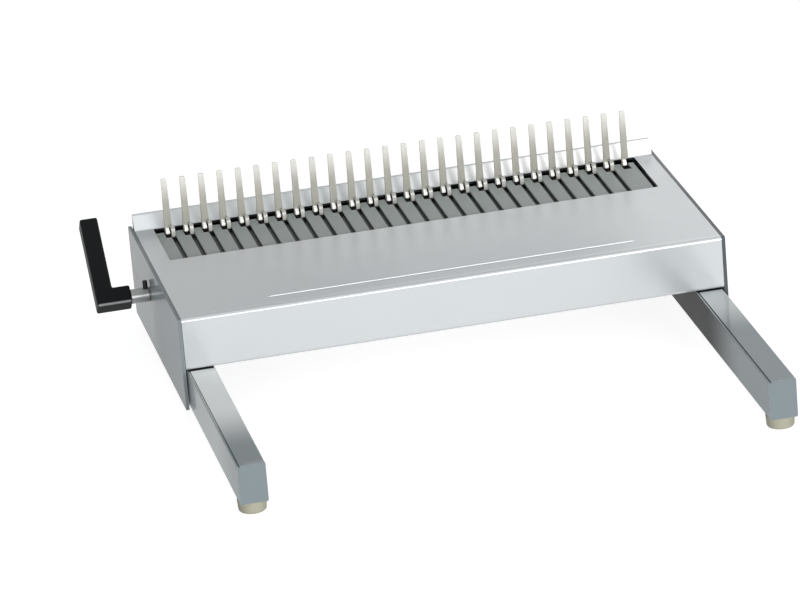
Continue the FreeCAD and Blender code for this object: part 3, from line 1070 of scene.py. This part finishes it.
@dataclass
class Covers:
    """The top cover and the rear panel: sheets folded along X."""

    sheet: float = 1.5 * MM
    hem: float = 12.0 * MM
    hem_bend: float = 2.5 * MM
    front_bend: float = 2.5 * MM
    crease_bend: float = 1.0 * MM
    ridge_bend: float = 1.6 * MM
    crease_to_ridge: float = 5.5 * MM
    ridge_land: float = 3.0 * MM
    panel_bend: float = 2.2 * MM
    window_corner: float = 0.8 * MM
    window_left: float = -168.0 * MM
    window_front: float = 112.5 * MM
    window_rear: float = 184.0 * MM
    bead_inset: float = 19.0 * MM
    bead_front: float = 0.22 * MM
    bead_rear: float = 3.0 * MM
    bead_height: float = 0.55 * MM
    bead_left: float = -112.0 * MM
    bead_right: float = 160.0 * MM
    bead_ramp: float = 3.0 * MM
    cutter_reach: float = 10.0 * MM

    def build(self) -> None:
        """Build and dress both sheets."""
        self._top_cover()
        self._rear_panel()

    @staticmethod
    def _fold(piece: Piece, y: float, z: float, radius: float, turn: float = RIGHT_ANGLE) -> None:
        """Round one fold line of a sheet that is being edited.

        Args:
            piece: the sheet.
            y: the line's place.
            z: its height.
            radius: the fold's outer radius.
            turn: the angle that the sheet turns there.
        """
        Bench.round_at(piece, radius * math.tan(turn / 2), 8, y=y, z=z)

    def _thicken(self, piece: Piece) -> None:
        """Give a folded sheet its thickness, inwards."""
        with Bench.editing(piece):
            Bench.outward()
        Bench.modify(piece, "SOLIDIFY", thickness=self.sheet, offset=-1.0, use_even_offset=True)

    def _top_cover(self) -> None:
        """Hem, fascia, flat top with its bead and window, and ridge."""
        low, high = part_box("top_cover")
        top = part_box("left_side_plate")[1].z
        ridge = high.y - self.ridge_land
        crease = ridge - self.crease_to_ridge
        rise = high.z - top
        slope = math.atan2(rise, self.crease_to_ridge)
        cover = Bench.flat("top_cover_sheet", (low.x, low.y, top), (high.x, crease, top))
        with Bench.editing(cover):
            Bench.edges_at(cover, y=low.y)
            Bench.pull(z=low.z - top)
            Bench.pull(y=self.hem)
            Bench.edges_at(cover, y=crease)
            Bench.pull(y=self.crease_to_ridge, z=rise)
            Bench.pull(y=self.ridge_land)
            Bench.pull(z=-(rise + self.sheet))
            self._bead(cover, low.y + self.bead_inset)
            self._fold(cover, low.y, top, self.front_bend)
            self._fold(cover, low.y, low.z, self.hem_bend)
            self._fold(cover, crease, top, self.crease_bend, slope)
            self._fold(cover, ridge, high.z, self.ridge_bend, slope)
            self._fold(cover, high.y, high.z, self.ridge_bend)
        self._thicken(cover)
        window = Bench.block("window", (self.window_left, self.window_front, top - self.cutter_reach),
                             (WINDOW_RIGHT, self.window_rear, top + self.cutter_reach))
        with Bench.editing(window):
            Bench.edges_along(window, "z")
            Bench.round_off(self.window_corner, 5)
        Bench.cut(cover, window)
        Bench.smooth(cover)
        Bench.hand_over(cover, Body.FRAME, COVER_PAINT, "top_cover")

    def _bead(self, cover: Piece, line: float) -> None:
        """Press a thin raised line, steep in front, into the flat top of the sheet being edited.

        Args:
            cover: the sheet.
            line: the Y of its crest.
        """
        Bench.slice("y", line - self.bead_front, line, line + self.bead_rear)
        Bench.slice("x", self.bead_left - self.bead_ramp, self.bead_left, self.bead_right,
                    self.bead_right + self.bead_ramp)
        Bench.points(cover, lambda p: at(p, y=line)
                     and self.bead_left - SAME < p.x < self.bead_right + SAME)
        Bench.move(z=self.bead_height)

    def _rear_panel(self) -> None:
        """The upright panel with a flange at its top and its bottom."""
        low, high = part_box("rear_panel")
        panel = Bench.flat("rear_panel_sheet", (low.x, low.y, high.z), high)
        with Bench.editing(panel):
            Bench.edges_at(panel, y=high.y)
            Bench.pull(z=low.z - high.z)
            Bench.pull(y=low.y - high.y)
            for z in (high.z, low.z):
                self._fold(panel, high.y, z, self.panel_bend)
        self._thicken(panel)
        Bench.smooth(panel)
        Bench.hand_over(panel, Body.FRAME, COVER_PAINT, "rear_panel")


@dataclass
class CombTable:
    """The slotted plate, the fixed fingers and the pull hooks."""

    pitch: float = 14.2875 * MM
    finger_count: int = 26
    finger_width: float = 5.6 * MM
    finger_tip: float = 4.2 * MM
    finger_edge: float = 0.3 * MM
    taper_start: float = 82.5 * MM
    tip_corner: float = 0.9 * MM
    blade: float = 2.0 * MM
    toe_low: float = 79.0 * MM
    toe_high: float = 83.5 * MM
    toe_drop: float = 2.5 * MM
    toe_left: float = 0.5 * MM
    toe_right: float = 3.3 * MM
    gap_low: float = 75.5 * MM
    gap_high: float = 84.0 * MM
    slot_width: float = 3.8 * MM
    slot_front: float = 115.5 * MM
    slot_edge: float = 0.25 * MM
    notch_front: float = 165.0 * MM
    notch_slack: float = 0.3 * MM
    end_gap: float = 2.6 * MM
    hook_width: float = 3.0 * MM
    hook_edge: float = 0.25 * MM
    hook_post: float = 2.1 * MM
    hook_nose: float = 2.8 * MM
    nose_depth: float = 3.6 * MM
    nose_rise: float = 1.8 * MM
    nose_drop: float = 0.6 * MM
    nose_undercut: float = 0.2 * MM
    crown_shift: float = 1.2 * MM
    crown_round: float = 0.9 * MM

    def build(self) -> None:
        """Build and dress the three."""
        self._slot_plate()
        self._fingers()
        self._hooks()

    def _slot_plate(self) -> None:
        """A plate with a slot for each hook, widened at the rear into a notch for each finger."""
        low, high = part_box("slot_plate")
        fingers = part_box("fixed_fingers")
        notch_half = self.finger_width / 2 + self.notch_slack
        notch_left = fingers[0].x + self.finger_width / 2 - notch_half
        last_finger = fingers[1].x - self.finger_width / 2
        slot_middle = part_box("pull_hooks")[0].x + self.hook_width / 2
        slot_left = slot_middle - self.slot_width / 2

        def through(name: str, left: float, right: float, front: float) -> Piece:
            """A cutter that passes through the plate and out at its rear edge."""
            return Bench.block(name, (left, front, low.z - MM), (right, high.y + MM, high.z + MM))

        plate = Bench.block("slotted_plate", low, high)
        slot = through("slot", slot_left, slot_left + self.slot_width, self.slot_front)
        with Bench.editing(slot):
            Bench.slice("y", self.notch_front)
            Bench.faces(slot, lambda middle, normal: normal.x < -TOWARDS and middle.y > self.notch_front)
            Bench.pull(x=notch_left - slot_left)
        slots = Bench.copies(slot, self.finger_count - 1, self.pitch)
        last = through("last_notch", last_finger - notch_half, last_finger + notch_half, self.notch_front)
        end = through("end_gap", WINDOW_RIGHT - self.end_gap, WINDOW_RIGHT + MM, self.slot_front)
        Bench.cut(plate, slots, last, end)
        Bench.soften(plate, self.slot_edge)
        Bench.smooth(plate)
        Bench.hand_over(plate, Body.FRAME, SLOT_PAINT, "slot_plate")

    def _fingers(self) -> None:
        """A row of tapered blades, each on a narrow root with a sloped toe in front of it."""
        low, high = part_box("fixed_fingers")
        front = high.y - self.blade
        finger = Bench.block("finger_row", (low.x, front, low.z),
                             (low.x + self.finger_width, high.y, high.z))
        with Bench.editing(finger):
            Bench.slice("z", self.taper_start)
            Bench.points_at(finger, z=high.z)
            Bench.resize((low.x + self.finger_width / 2, front, high.z),
                         x=self.finger_tip / self.finger_width)
            Bench.edges(finger, lambda a, b: at(a, z=high.z) and at(b, z=high.z) and near(a.x, b.x))
            Bench.round_off(self.tip_corner, 3)
            Bench.slice("z", self.toe_low, self.toe_high)
            Bench.slice("x", low.x + self.toe_left, low.x + self.toe_right)
            Bench.faces(finger, lambda place, normal: normal.y < -TOWARDS
                        and self.toe_low < place.z < self.toe_high
                        and self.toe_left < place.x - low.x < self.toe_right)
            Bench.pull(y=low.y - front)
            for z in (self.toe_high, self.taper_start):
                Bench.points_at(finger, y=low.y, z=z)
                Bench.move(z=-self.toe_drop)
        Bench.cut(finger, Bench.block("root_gap", (low.x + self.toe_right, front - MM, self.gap_low),
                                      (low.x + self.finger_width + MM, high.y + MM, self.gap_high)))
        Bench.soften(finger, self.finger_edge)
        Bench.smooth(finger)
        row = Bench.copies(finger, self.finger_count, self.pitch)
        Bench.hand_over(row, Body.FRAME, FINGER_STEEL, "fixed_fingers")

    def _hooks(self) -> None:
        """A row of posts in front of the toes, each on a tongue and with a nose bent back over its toe."""
        low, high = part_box("pull_hooks")
        tip = high.y
        rear = tip - self.hook_nose
        front = rear - self.hook_post
        nose_low = high.z - self.nose_depth
        tongue_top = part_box("puller_plate")[1].z
        hook = Bench.block("hook_row", (low.x, front, low.z), (low.x + self.hook_width, rear, high.z))
        with Bench.editing(hook):
            Bench.slice("z", tongue_top)
            Bench.faces(hook, lambda middle, normal: normal.y < -TOWARDS and middle.z < tongue_top)
            Bench.pull(y=low.y - front)
            Bench.slice("z", nose_low)
            Bench.faces(hook, lambda middle, normal: normal.y > TOWARDS and middle.z > nose_low)
            Bench.pull(y=self.hook_nose)
            for y, z, aside, up in (
                    (tip, high.z, 0.0, -self.nose_drop),
                    (tip, nose_low, -self.nose_undercut, self.nose_rise),
                    (rear, high.z, self.crown_shift, 0.0),
                    (front, high.z, self.crown_shift, -self.crown_shift),
                    (front, nose_low, 0.0, self.nose_undercut)):
                Bench.points_at(hook, y=y, z=z)
                Bench.move(y=aside, z=up)
            Bench.round_at(hook, self.crown_round, 3, y=front + self.crown_shift,
                           z=high.z - self.crown_shift)
        Bench.soften(hook, self.hook_edge)
        Bench.smooth(hook)
        row = Bench.copies(hook, self.finger_count - 1, self.pitch)
        Bench.hand_over(row, Body.PULLER, HOOK_STEEL, "pull_hooks")


@dataclass
class SideFrame:
    """The two side plates, the legs with their plugs and the feet."""

    plate_front_corner: float = 1.5 * MM
    plate_rear_corner: float = 2.0 * MM
    plate_edge: float = 0.4 * MM
    bush_radius: float = 6.0 * MM
    tab_width: float = 12.0 * MM
    tab_overlap: float = 0.5 * MM
    tab_front: float = 194.0 * MM
    tab_rear: float = 196.5 * MM
    tab_bottom: float = 44.0 * MM
    tab_top: float = 74.0 * MM
    screw_y: float = 172.0 * MM
    screw_z: float = 47.5 * MM
    screw_head: float = 3.2 * MM
    screw_sink: float = 1.2 * MM
    leg_wall: float = 1.5 * MM
    leg_edge: float = 1.2 * MM
    leg_front_top: float = 4.0 * MM
    leg_front_bottom: float = 1.5 * MM
    seam_inset: float = 1.1 * MM
    seam_width: float = 1.0 * MM
    seam_depth: float = 1.3 * MM
    plug_edge: float = 0.5 * MM
    plug_overlap: float = 0.5 * MM
    foot_taper: float = 0.94
    foot_edge: float = 1.6 * MM
    foot_top_edge: float = 0.4 * MM
    foot_rim: float = 2.0 * MM
    foot_slope: float = 0.6 * MM
    foot_hollow: float = 0.8 * MM

    def build(self) -> None:
        """Build and dress both sides."""
        self._plates()
        for side, paint in (("left", LEFT_LEG_PAINT), ("right", RIGHT_LEG_PAINT)):
            self._leg(side, paint)
            self._plug(side)
        for place in ("front_left", "front_right", "rear_left", "rear_right"):
            self._foot(place)

    def _plates(self) -> None:
        """A flat plate with a welded tab at its rear, and its mirror image."""
        low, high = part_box("left_side_plate")
        inner = high.x - self.tab_width
        plate = Bench.block("left_plate", low, (inner, high.y, high.z))
        with Bench.editing(plate):
            Bench.round_at(plate, self.plate_front_corner, 8, y=low.y, z=high.z)
            Bench.round_at(plate, self.plate_rear_corner, 5, y=high.y, z=high.z)
        Bench.add(plate, Bench.block("tab", (inner - self.tab_overlap, self.tab_front, self.tab_bottom),
                                     (high.x, self.tab_rear, self.tab_top)))
        bore = Bench.shaft_rod("bore", low.x - MM, inner + MM, self.bush_radius)
        sink = Bench.rod("sink", (low.x - MM, self.screw_y, self.screw_z),
                         (low.x + self.screw_sink, self.screw_y, self.screw_z), self.screw_head)
        Bench.cut(plate, bore, sink)
        Bench.soften(plate, self.plate_edge)
        Bench.smooth(plate)
        twin = Bench.mirrored(plate, "right_plate", (low.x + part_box("right_side_plate")[1].x) / 2)
        Bench.smooth(twin)
        Bench.hand_over(plate, Body.FRAME, LEFT_PLATE_PAINT, "left_side_plate")
        Bench.hand_over(twin, Body.FRAME, RIGHT_PLATE_PAINT, "right_side_plate")

    def _leg(self, side: str, paint: Paint) -> None:
        """A folded box leg with a seam along its upper left edge.

        Args:
            side: left or right.
            paint: its finish.
        """
        low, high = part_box(side + "_leg")
        leg = Bench.block(side + "_leg_box", low, high)
        with Bench.editing(leg):
            Bench.edges_along(leg, "y")
            Bench.round_off(self.leg_edge, 4)
            Bench.round_at(leg, self.leg_front_top, 8, y=low.y, z=high.z)
            Bench.round_at(leg, self.leg_front_bottom, 4, y=low.y, z=low.z)
        room = Bench.block("room", (low.x + self.leg_wall, low.y + self.leg_wall, low.z + self.leg_wall),
                           (high.x - self.leg_wall, high.y + MM, high.z - self.leg_wall))
        seam = Bench.block("seam", (low.x + self.seam_inset, low.y - MM, high.z - self.seam_depth),
                           (low.x + self.seam_inset + self.seam_width, high.y + MM, high.z + MM))
        Bench.cut(leg, room, seam)
        Bench.smooth(leg)
        Bench.hand_over(leg, Body.FRAME, paint, side + "_leg")

    def _plug(self, side: str) -> None:
        """The plug in one leg's rear end: a flange with rounded rim and a shorter body.

        Args:
            side: left or right.
        """
        low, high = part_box(side + "_leg_plug")
        flange_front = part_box(side + "_leg")[1].y
        plug = Bench.block(side + "_plug", (low.x, flange_front, low.z), high)
        wall = self.leg_wall
        body = Bench.block("plug_body", (low.x + wall, low.y, low.z + wall),
                           (high.x - wall, flange_front + self.plug_overlap, high.z - wall))
        with Bench.editing(plug):
            Bench.edges_along(plug, "y")
            Bench.round_off(self.leg_edge, 3)
        Bench.soften(plug, self.plug_edge, segments=3)
        Bench.add(plug, body)
        Bench.smooth(plug)
        Bench.hand_over(plug, Body.FRAME, PLUG_PLASTIC, side + "_leg_plug")

    def _foot(self, place: str) -> None:
        """A round foot, narrower at the floor, with a shallow hollow below.

        Args:
            place: the foot's corner, such as front_left.
        """
        low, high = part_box("foot_" + place)
        x, y = (low.x + high.x) / 2, (low.y + high.y) / 2
        foot = Bench.rod(place + "_foot", (x, y, low.z), (x, y, high.z), (high.x - low.x) / 2, sides=64)
        with Bench.editing(foot):
            Bench.points_at(foot, z=low.z)
            Bench.resize((x, y, low.z), x=self.foot_taper, y=self.foot_taper)
            Bench.round_at(foot, self.foot_edge, 5, z=low.z)
            Bench.round_at(foot, self.foot_top_edge, 2, z=high.z)
            Bench.faces(foot, lambda middle, normal: normal.z < -TOWARDS and near(middle.z, low.z))
            Bench.inset(self.foot_rim, self.foot_slope)
            Bench.move(z=self.foot_hollow)
        Bench.smooth(foot)
        Bench.hand_over(foot, Body.FRAME, FOOT_RUBBER, "foot_" + place)


@dataclass
class Crank:
    """The crank lever on its shaft, with the collar and its set screw."""

    lean: float = math.radians(47)
    reach: float = 67.0 * MM
    arm_width: float = 13.5 * MM
    thick: float = 14.0 * MM
    edge: float = 1.6 * MM
    shaft_radius: float = 4.0 * MM
    shaft_cover: float = 6.5 * MM
    collar_chamfer: float = 0.6 * MM
    screw_edge: float = 0.3 * MM
    hex_radius: float = 1.1 * MM
    hex_depth: float = 1.6 * MM

    def build(self) -> None:
        """Build and dress the three."""
        self._lever()
        self._collar()
        self._set_screw()

    def _lever(self) -> None:
        """An arm and a hub block in one L-shaped moulding, leaning back."""
        low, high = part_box("crank_lever")
        half = self.thick / 2
        arm = Bench.block("crank_handle", (low.x, SHAFT_Y - half, SHAFT_Z - half),
                          (low.x + self.arm_width, SHAFT_Y + half, SHAFT_Z + self.reach))
        with Bench.editing(arm):
            Bench.slice("z", SHAFT_Z + half)
            Bench.faces(arm, lambda middle, normal: normal.x > TOWARDS and middle.z < SHAFT_Z + half)
            Bench.pull(x=high.x - low.x - self.arm_width)
        Bench.soften(arm, self.edge, segments=4)
        Bench.cut(arm, Bench.shaft_rod("bore", low.x + self.shaft_cover, high.x + MM, self.shaft_radius))
        centre = Matrix.Translation((0.0, SHAFT_Y, SHAFT_Z))
        arm.matrix_world = centre @ Matrix.Rotation(-self.lean, 4, "X") @ centre.inverted()
        Bench.settle(arm, "crank_handle")
        Bench.smooth(arm)
        Bench.hand_over(arm, Body.CRANK, HANDLE_PLASTIC, "crank_lever")

    def _collar(self) -> None:
        """The collar between hub and side plate, chamfered, with a cross hole for its screw."""
        low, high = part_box("shaft_collar")
        collar = Bench.shaft_rod("collar", low.x, high.x, (high.y - low.y) / 2, sides=64)
        with Bench.editing(collar):
            for x in (low.x, high.x):
                Bench.round_at(collar, self.collar_chamfer, 2, x=x)
        screw_low, screw_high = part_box("collar_screw")
        screw_x = (screw_low.x + screw_high.x) / 2
        bore = Bench.shaft_rod("bore", low.x - MM, high.x + MM, self.shaft_radius)
        hole = Bench.rod("hole", (screw_x, SHAFT_Y, SHAFT_Z), (screw_x, SHAFT_Y, screw_high.z),
                         (screw_high.x - screw_low.x) / 2)
        Bench.cut(collar, bore, hole)
        Bench.smooth(collar)
        Bench.hand_over(collar, Body.CRANK, DRAWN_STEEL, "shaft_collar")

    def _set_screw(self) -> None:
        """The collar's black screw, with a hexagon socket in its head."""
        low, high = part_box("collar_screw")
        x = (low.x + high.x) / 2
        screw = Bench.rod("set_screw", (x, SHAFT_Y, low.z), (x, SHAFT_Y, high.z), (high.x - low.x) / 2,
                          sides=32)
        with Bench.editing(screw):
            Bench.round_at(screw, self.screw_edge, 2, z=high.z)
        Bench.cut(screw, Bench.rod("socket", (x, SHAFT_Y, high.z - self.hex_depth),
                                   (x, SHAFT_Y, high.z + MM), self.hex_radius, sides=6))
        Bench.smooth(screw)
        Bench.hand_over(screw, Body.CRANK, BLACK_SCREW, "collar_screw")


@dataclass
class Screws:
    """The bar screws in the side plates and the screws of the rear panel."""

    drive_arm: float = 0.7 * MM
    drive_reach: float = 1.9 * MM
    drive_depth: float = 1.0 * MM
    shank_radius: float = 2.0 * MM
    bar_length: float = 14.0 * MM
    bar_recess: float = 0.1 * MM
    sink_depth: float = 1.2 * MM
    pan_height: float = 2.0 * MM
    pan_round: float = 0.9 * MM

    def build(self) -> None:
        """Build and dress both kinds."""
        self._bar_screws()
        self._panel_screws()

    def _pair(self, screw: Piece, twin_name: str, centre: Vector, head: Vector, outward: Vector,
              node: str) -> None:
        """Give a screw its cross recess and its twin, and dress the two.

        Args:
            screw: the left one.
            twin_name: the name of the right one until the two are joined.
            centre: the middle between the two.
            head: the middle of the head's face.
            outward: the direction that the head faces.
            node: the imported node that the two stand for.
        """
        across = Vector((0, 0, 1))
        aside = outward.cross(across)
        for first, second in ((across, aside), (aside, across)):
            half = first * self.drive_reach + second * (self.drive_arm / 2) + outward * self.drive_depth
            size = Vector([abs(part) for part in half])
            Bench.cut(screw, Bench.block("recess", head - size, head + size))
        Bench.smooth(screw)
        twin = Bench.mirrored(screw, twin_name, centre.x)
        Bench.pick(screw, twin)
        bpy.ops.object.join()
        Bench.hand_over(screw, Body.FRAME, SCREW_STEEL, node)

    def _bar_screws(self) -> None:
        """A countersunk screw flush in each side plate."""
        low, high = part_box("bar_screws")
        radius = (high.z - low.z) / 2
        centre = (low + high) / 2
        head = Vector((low.x + self.bar_recess, centre.y, centre.z))
        sunk = head.x + self.sink_depth
        screw = Bench.rod("bar_screw_pair", head, (head.x + self.bar_length, centre.y, centre.z), radius)
        with Bench.editing(screw):
            Bench.slice("x", sunk)
            Bench.points(screw, lambda p: p.x > sunk - SAME)
            Bench.resize(centre, y=self.shank_radius / radius, z=self.shank_radius / radius)
        self._pair(screw, "bar_screw_twin", centre, head, Vector((-1, 0, 0)), "bar_screws")

    def _panel_screws(self) -> None:
        """Two pan-head screws on the rear panel."""
        low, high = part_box("rear_panel_screws")
        radius = (high.z - low.z) / 2
        centre = (low + high) / 2
        head = Vector((low.x + radius, high.y, centre.z))
        neck = high.y - self.pan_height
        screw = Bench.rod("panel_screw_pair", head, (head.x, low.y, head.z), radius)
        with Bench.editing(screw):
            Bench.slice("y", neck)
            Bench.round_at(screw, self.pan_round, 4, y=high.y)
            Bench.faces(screw, lambda middle, normal: near(middle.y, low.y))
            Bench.inset(radius - self.shank_radius)
            Bench.points(screw, lambda p: at(p, y=low.y)
                         and math.hypot(p.x - head.x, p.z - head.z) > self.shank_radius + SAME)
            Bench.move(y=neck - low.y)
        self._pair(screw, "panel_screw_twin", centre, head, Vector((0, 1, 0)), "rear_panel_screws")


@dataclass
class InnerWorks:
    """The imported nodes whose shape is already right: each gets its own finish."""

    finishes: tuple[tuple[Finish, tuple[str, ...]], ...] = (
        (DRAWN_STEEL, ("crank_shaft", "front_rail", "left_slide_rail", "right_slide_rail")),
        (OILED_STEEL, ("puller_plate", "finger_bar")),
        (GEAR_STEEL, ("left_rack", "right_rack", "left_pinion", "right_pinion")),
        (BRONZE, ("left_bush", "right_bush")),
        (SCREW_STEEL, ("leg_spacers", "retaining_ring")))

    def build(self) -> None:
        """Dress the shaft, gears, bearings, rails, bars and spacers."""
        for finish, names in self.finishes:
            for name in names:
                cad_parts[name].material_slots[0].material = finish.material(Bench.groups)
                LOG.info("%s keeps its shape, %s", name, finish.title)


# ---- stage ---------------------------------------------------------------------------------------


@dataclass(frozen=True)
class ViewPoint:
    """The camera: a long lens from the front left, held slightly rolled."""

    place: Point = (-0.6898, -3.5098, 1.4352)
    azimuth: float = 10.83
    elevation: float = 20.99
    roll: float = -4.81
    focal_pixels: float = 5237.0
    picture_width: float = 800.0
    sensor: float = 36.0
    nearest: float = 0.1
    farthest: float = 100.0

    def build(self) -> None:
        """Make the camera and give it to the scene."""
        turn, tilt, roll = (math.radians(angle) for angle in (self.azimuth, self.elevation, self.roll))
        ahead = Vector((math.sin(turn) * math.cos(tilt), math.cos(turn) * math.cos(tilt), -math.sin(tilt)))
        level = Vector((math.cos(turn), -math.sin(turn), 0.0))
        upright = level.cross(ahead)
        right = level * math.cos(roll) + upright * math.sin(roll)
        up = upright * math.cos(roll) - level * math.sin(roll)
        lens = bpy.data.cameras.new("camera")
        lens.sensor_width = self.sensor
        lens.lens = self.focal_pixels * self.sensor / self.picture_width
        lens.clip_start, lens.clip_end = self.nearest, self.farthest
        camera = bpy.data.objects.new("camera", lens)
        scene = bpy.context.scene
        scene.collection.objects.link(camera)
        turned = Matrix((right, up, -ahead)).transposed().to_4x4()
        camera.matrix_world = Matrix.Translation(self.place) @ turned
        scene.camera = camera


@dataclass(frozen=True)
class Softbox:
    """A soft lamp that points at the machine."""

    name: str
    place: Point
    width: float
    height: float
    power: float
    target: Point = (0.02, 0.0, 0.05)

    def build(self) -> None:
        """Hang the lamp."""
        lamp = bpy.data.lights.new(self.name, "AREA")
        lamp.shape = "RECTANGLE"
        lamp.size, lamp.size_y = self.width, self.height
        lamp.energy = self.power
        made = bpy.data.objects.new(self.name, lamp)
        made.location = self.place
        made.rotation_mode = "QUATERNION"
        made.rotation_quaternion = (Vector(self.target) - Vector(self.place)).to_track_quat("-Z", "Y")
        bpy.context.scene.collection.objects.link(made)


@dataclass(frozen=True)
class Studio:
    """A pale floor under a white surround, lit softly."""

    floor_size: float = 30.0
    floor_colour: float = 0.5
    floor_glow: float = 0.84
    fill: float = 0.3
    lamps: tuple[Softbox, ...] = (
        Softbox("front_right_lamp", (1.0, -2.0, 0.38), 1.5, 0.7, 24.0),
        Softbox("front_left_lamp", (-0.6, -2.0, 0.38), 1.5, 0.7, 29.0),
        Softbox("rear_lamp", (0.9, 2.75, 1.0), 1.0, 1.0, 2.0),
        Softbox("top_lamp", (0.85, 0.2, 0.6), 0.4, 0.4, 1.2),
        Softbox("ridge_lamp", (0.98, -2.0, 1.35), 1.0, 0.7, 6.0))

    def build(self) -> None:
        """Make the surround, the floor and the lamps."""
        bpy.context.scene.view_settings.view_transform = "Standard"
        self._surround()
        self._floor()
        for lamp in self.lamps:
            lamp.build()

    @staticmethod
    def _seen(graph: Graph) -> Any:
        """1 for rays that show the surround: straight from the camera, mirrored or through glass.

        Args:
            graph: the graph of the material or world.

        Returns:
            The output socket of that number.
        """
        path = graph.node("LightPath").outputs
        direct = graph.math("MAXIMUM", path["Is Camera Ray"], path["Is Glossy Ray"])
        return graph.math("MAXIMUM", direct, path["Is Transmission Ray"])

    def _surround(self) -> None:
        """White where it is seen, and a softer fill where it only lights."""
        world = bpy.data.worlds.new("surround")
        graph = Graph.of(world)
        strength = graph.ramp(self._seen(graph), 0.0, 1.0, self.fill, 1.0)
        graph.node("OutputWorld", graph.node("Background", WHITE, strength).outputs[0])
        bpy.context.scene.world = world

    def _floor(self) -> None:
        """A wide pale floor that keeps the machine's shadow."""
        bpy.ops.object.select_all(action="DESELECT")
        bpy.ops.mesh.primitive_plane_add(size=self.floor_size, location=ORIGIN)
        floor = bpy.context.object
        floor.name = "floor"
        paper = bpy.data.materials.new("Pale floor")
        graph = Graph.of(paper)
        level = self.floor_colour
        diffuse = graph.node("BsdfDiffuse", (level, level, level, 1.0)).outputs[0]
        strength = graph.math("MULTIPLY", self._seen(graph), self.floor_glow)
        glow = graph.node("Emission", WHITE, strength).outputs[0]
        graph.node("OutputMaterial", graph.node("AddShader", diffuse, glow).outputs[0])
        floor.data.materials.append(paper)


# ---- the whole machine ---------------------------------------------------------------------------


def main() -> None:
    """Set the stage, then build and dress the sub-assemblies in order."""
    logging.basicConfig(level=logging.INFO, format="%(message)s")
    ViewPoint().build()
    Bench.prepare()
    for part in (Covers(), SideFrame(), CombTable(), Crank(), Screws(), InnerWorks(), Studio()):
        LOG.info("%s", type(part).__name__)
        part.build()


if __name__ == "__main__":
    main()
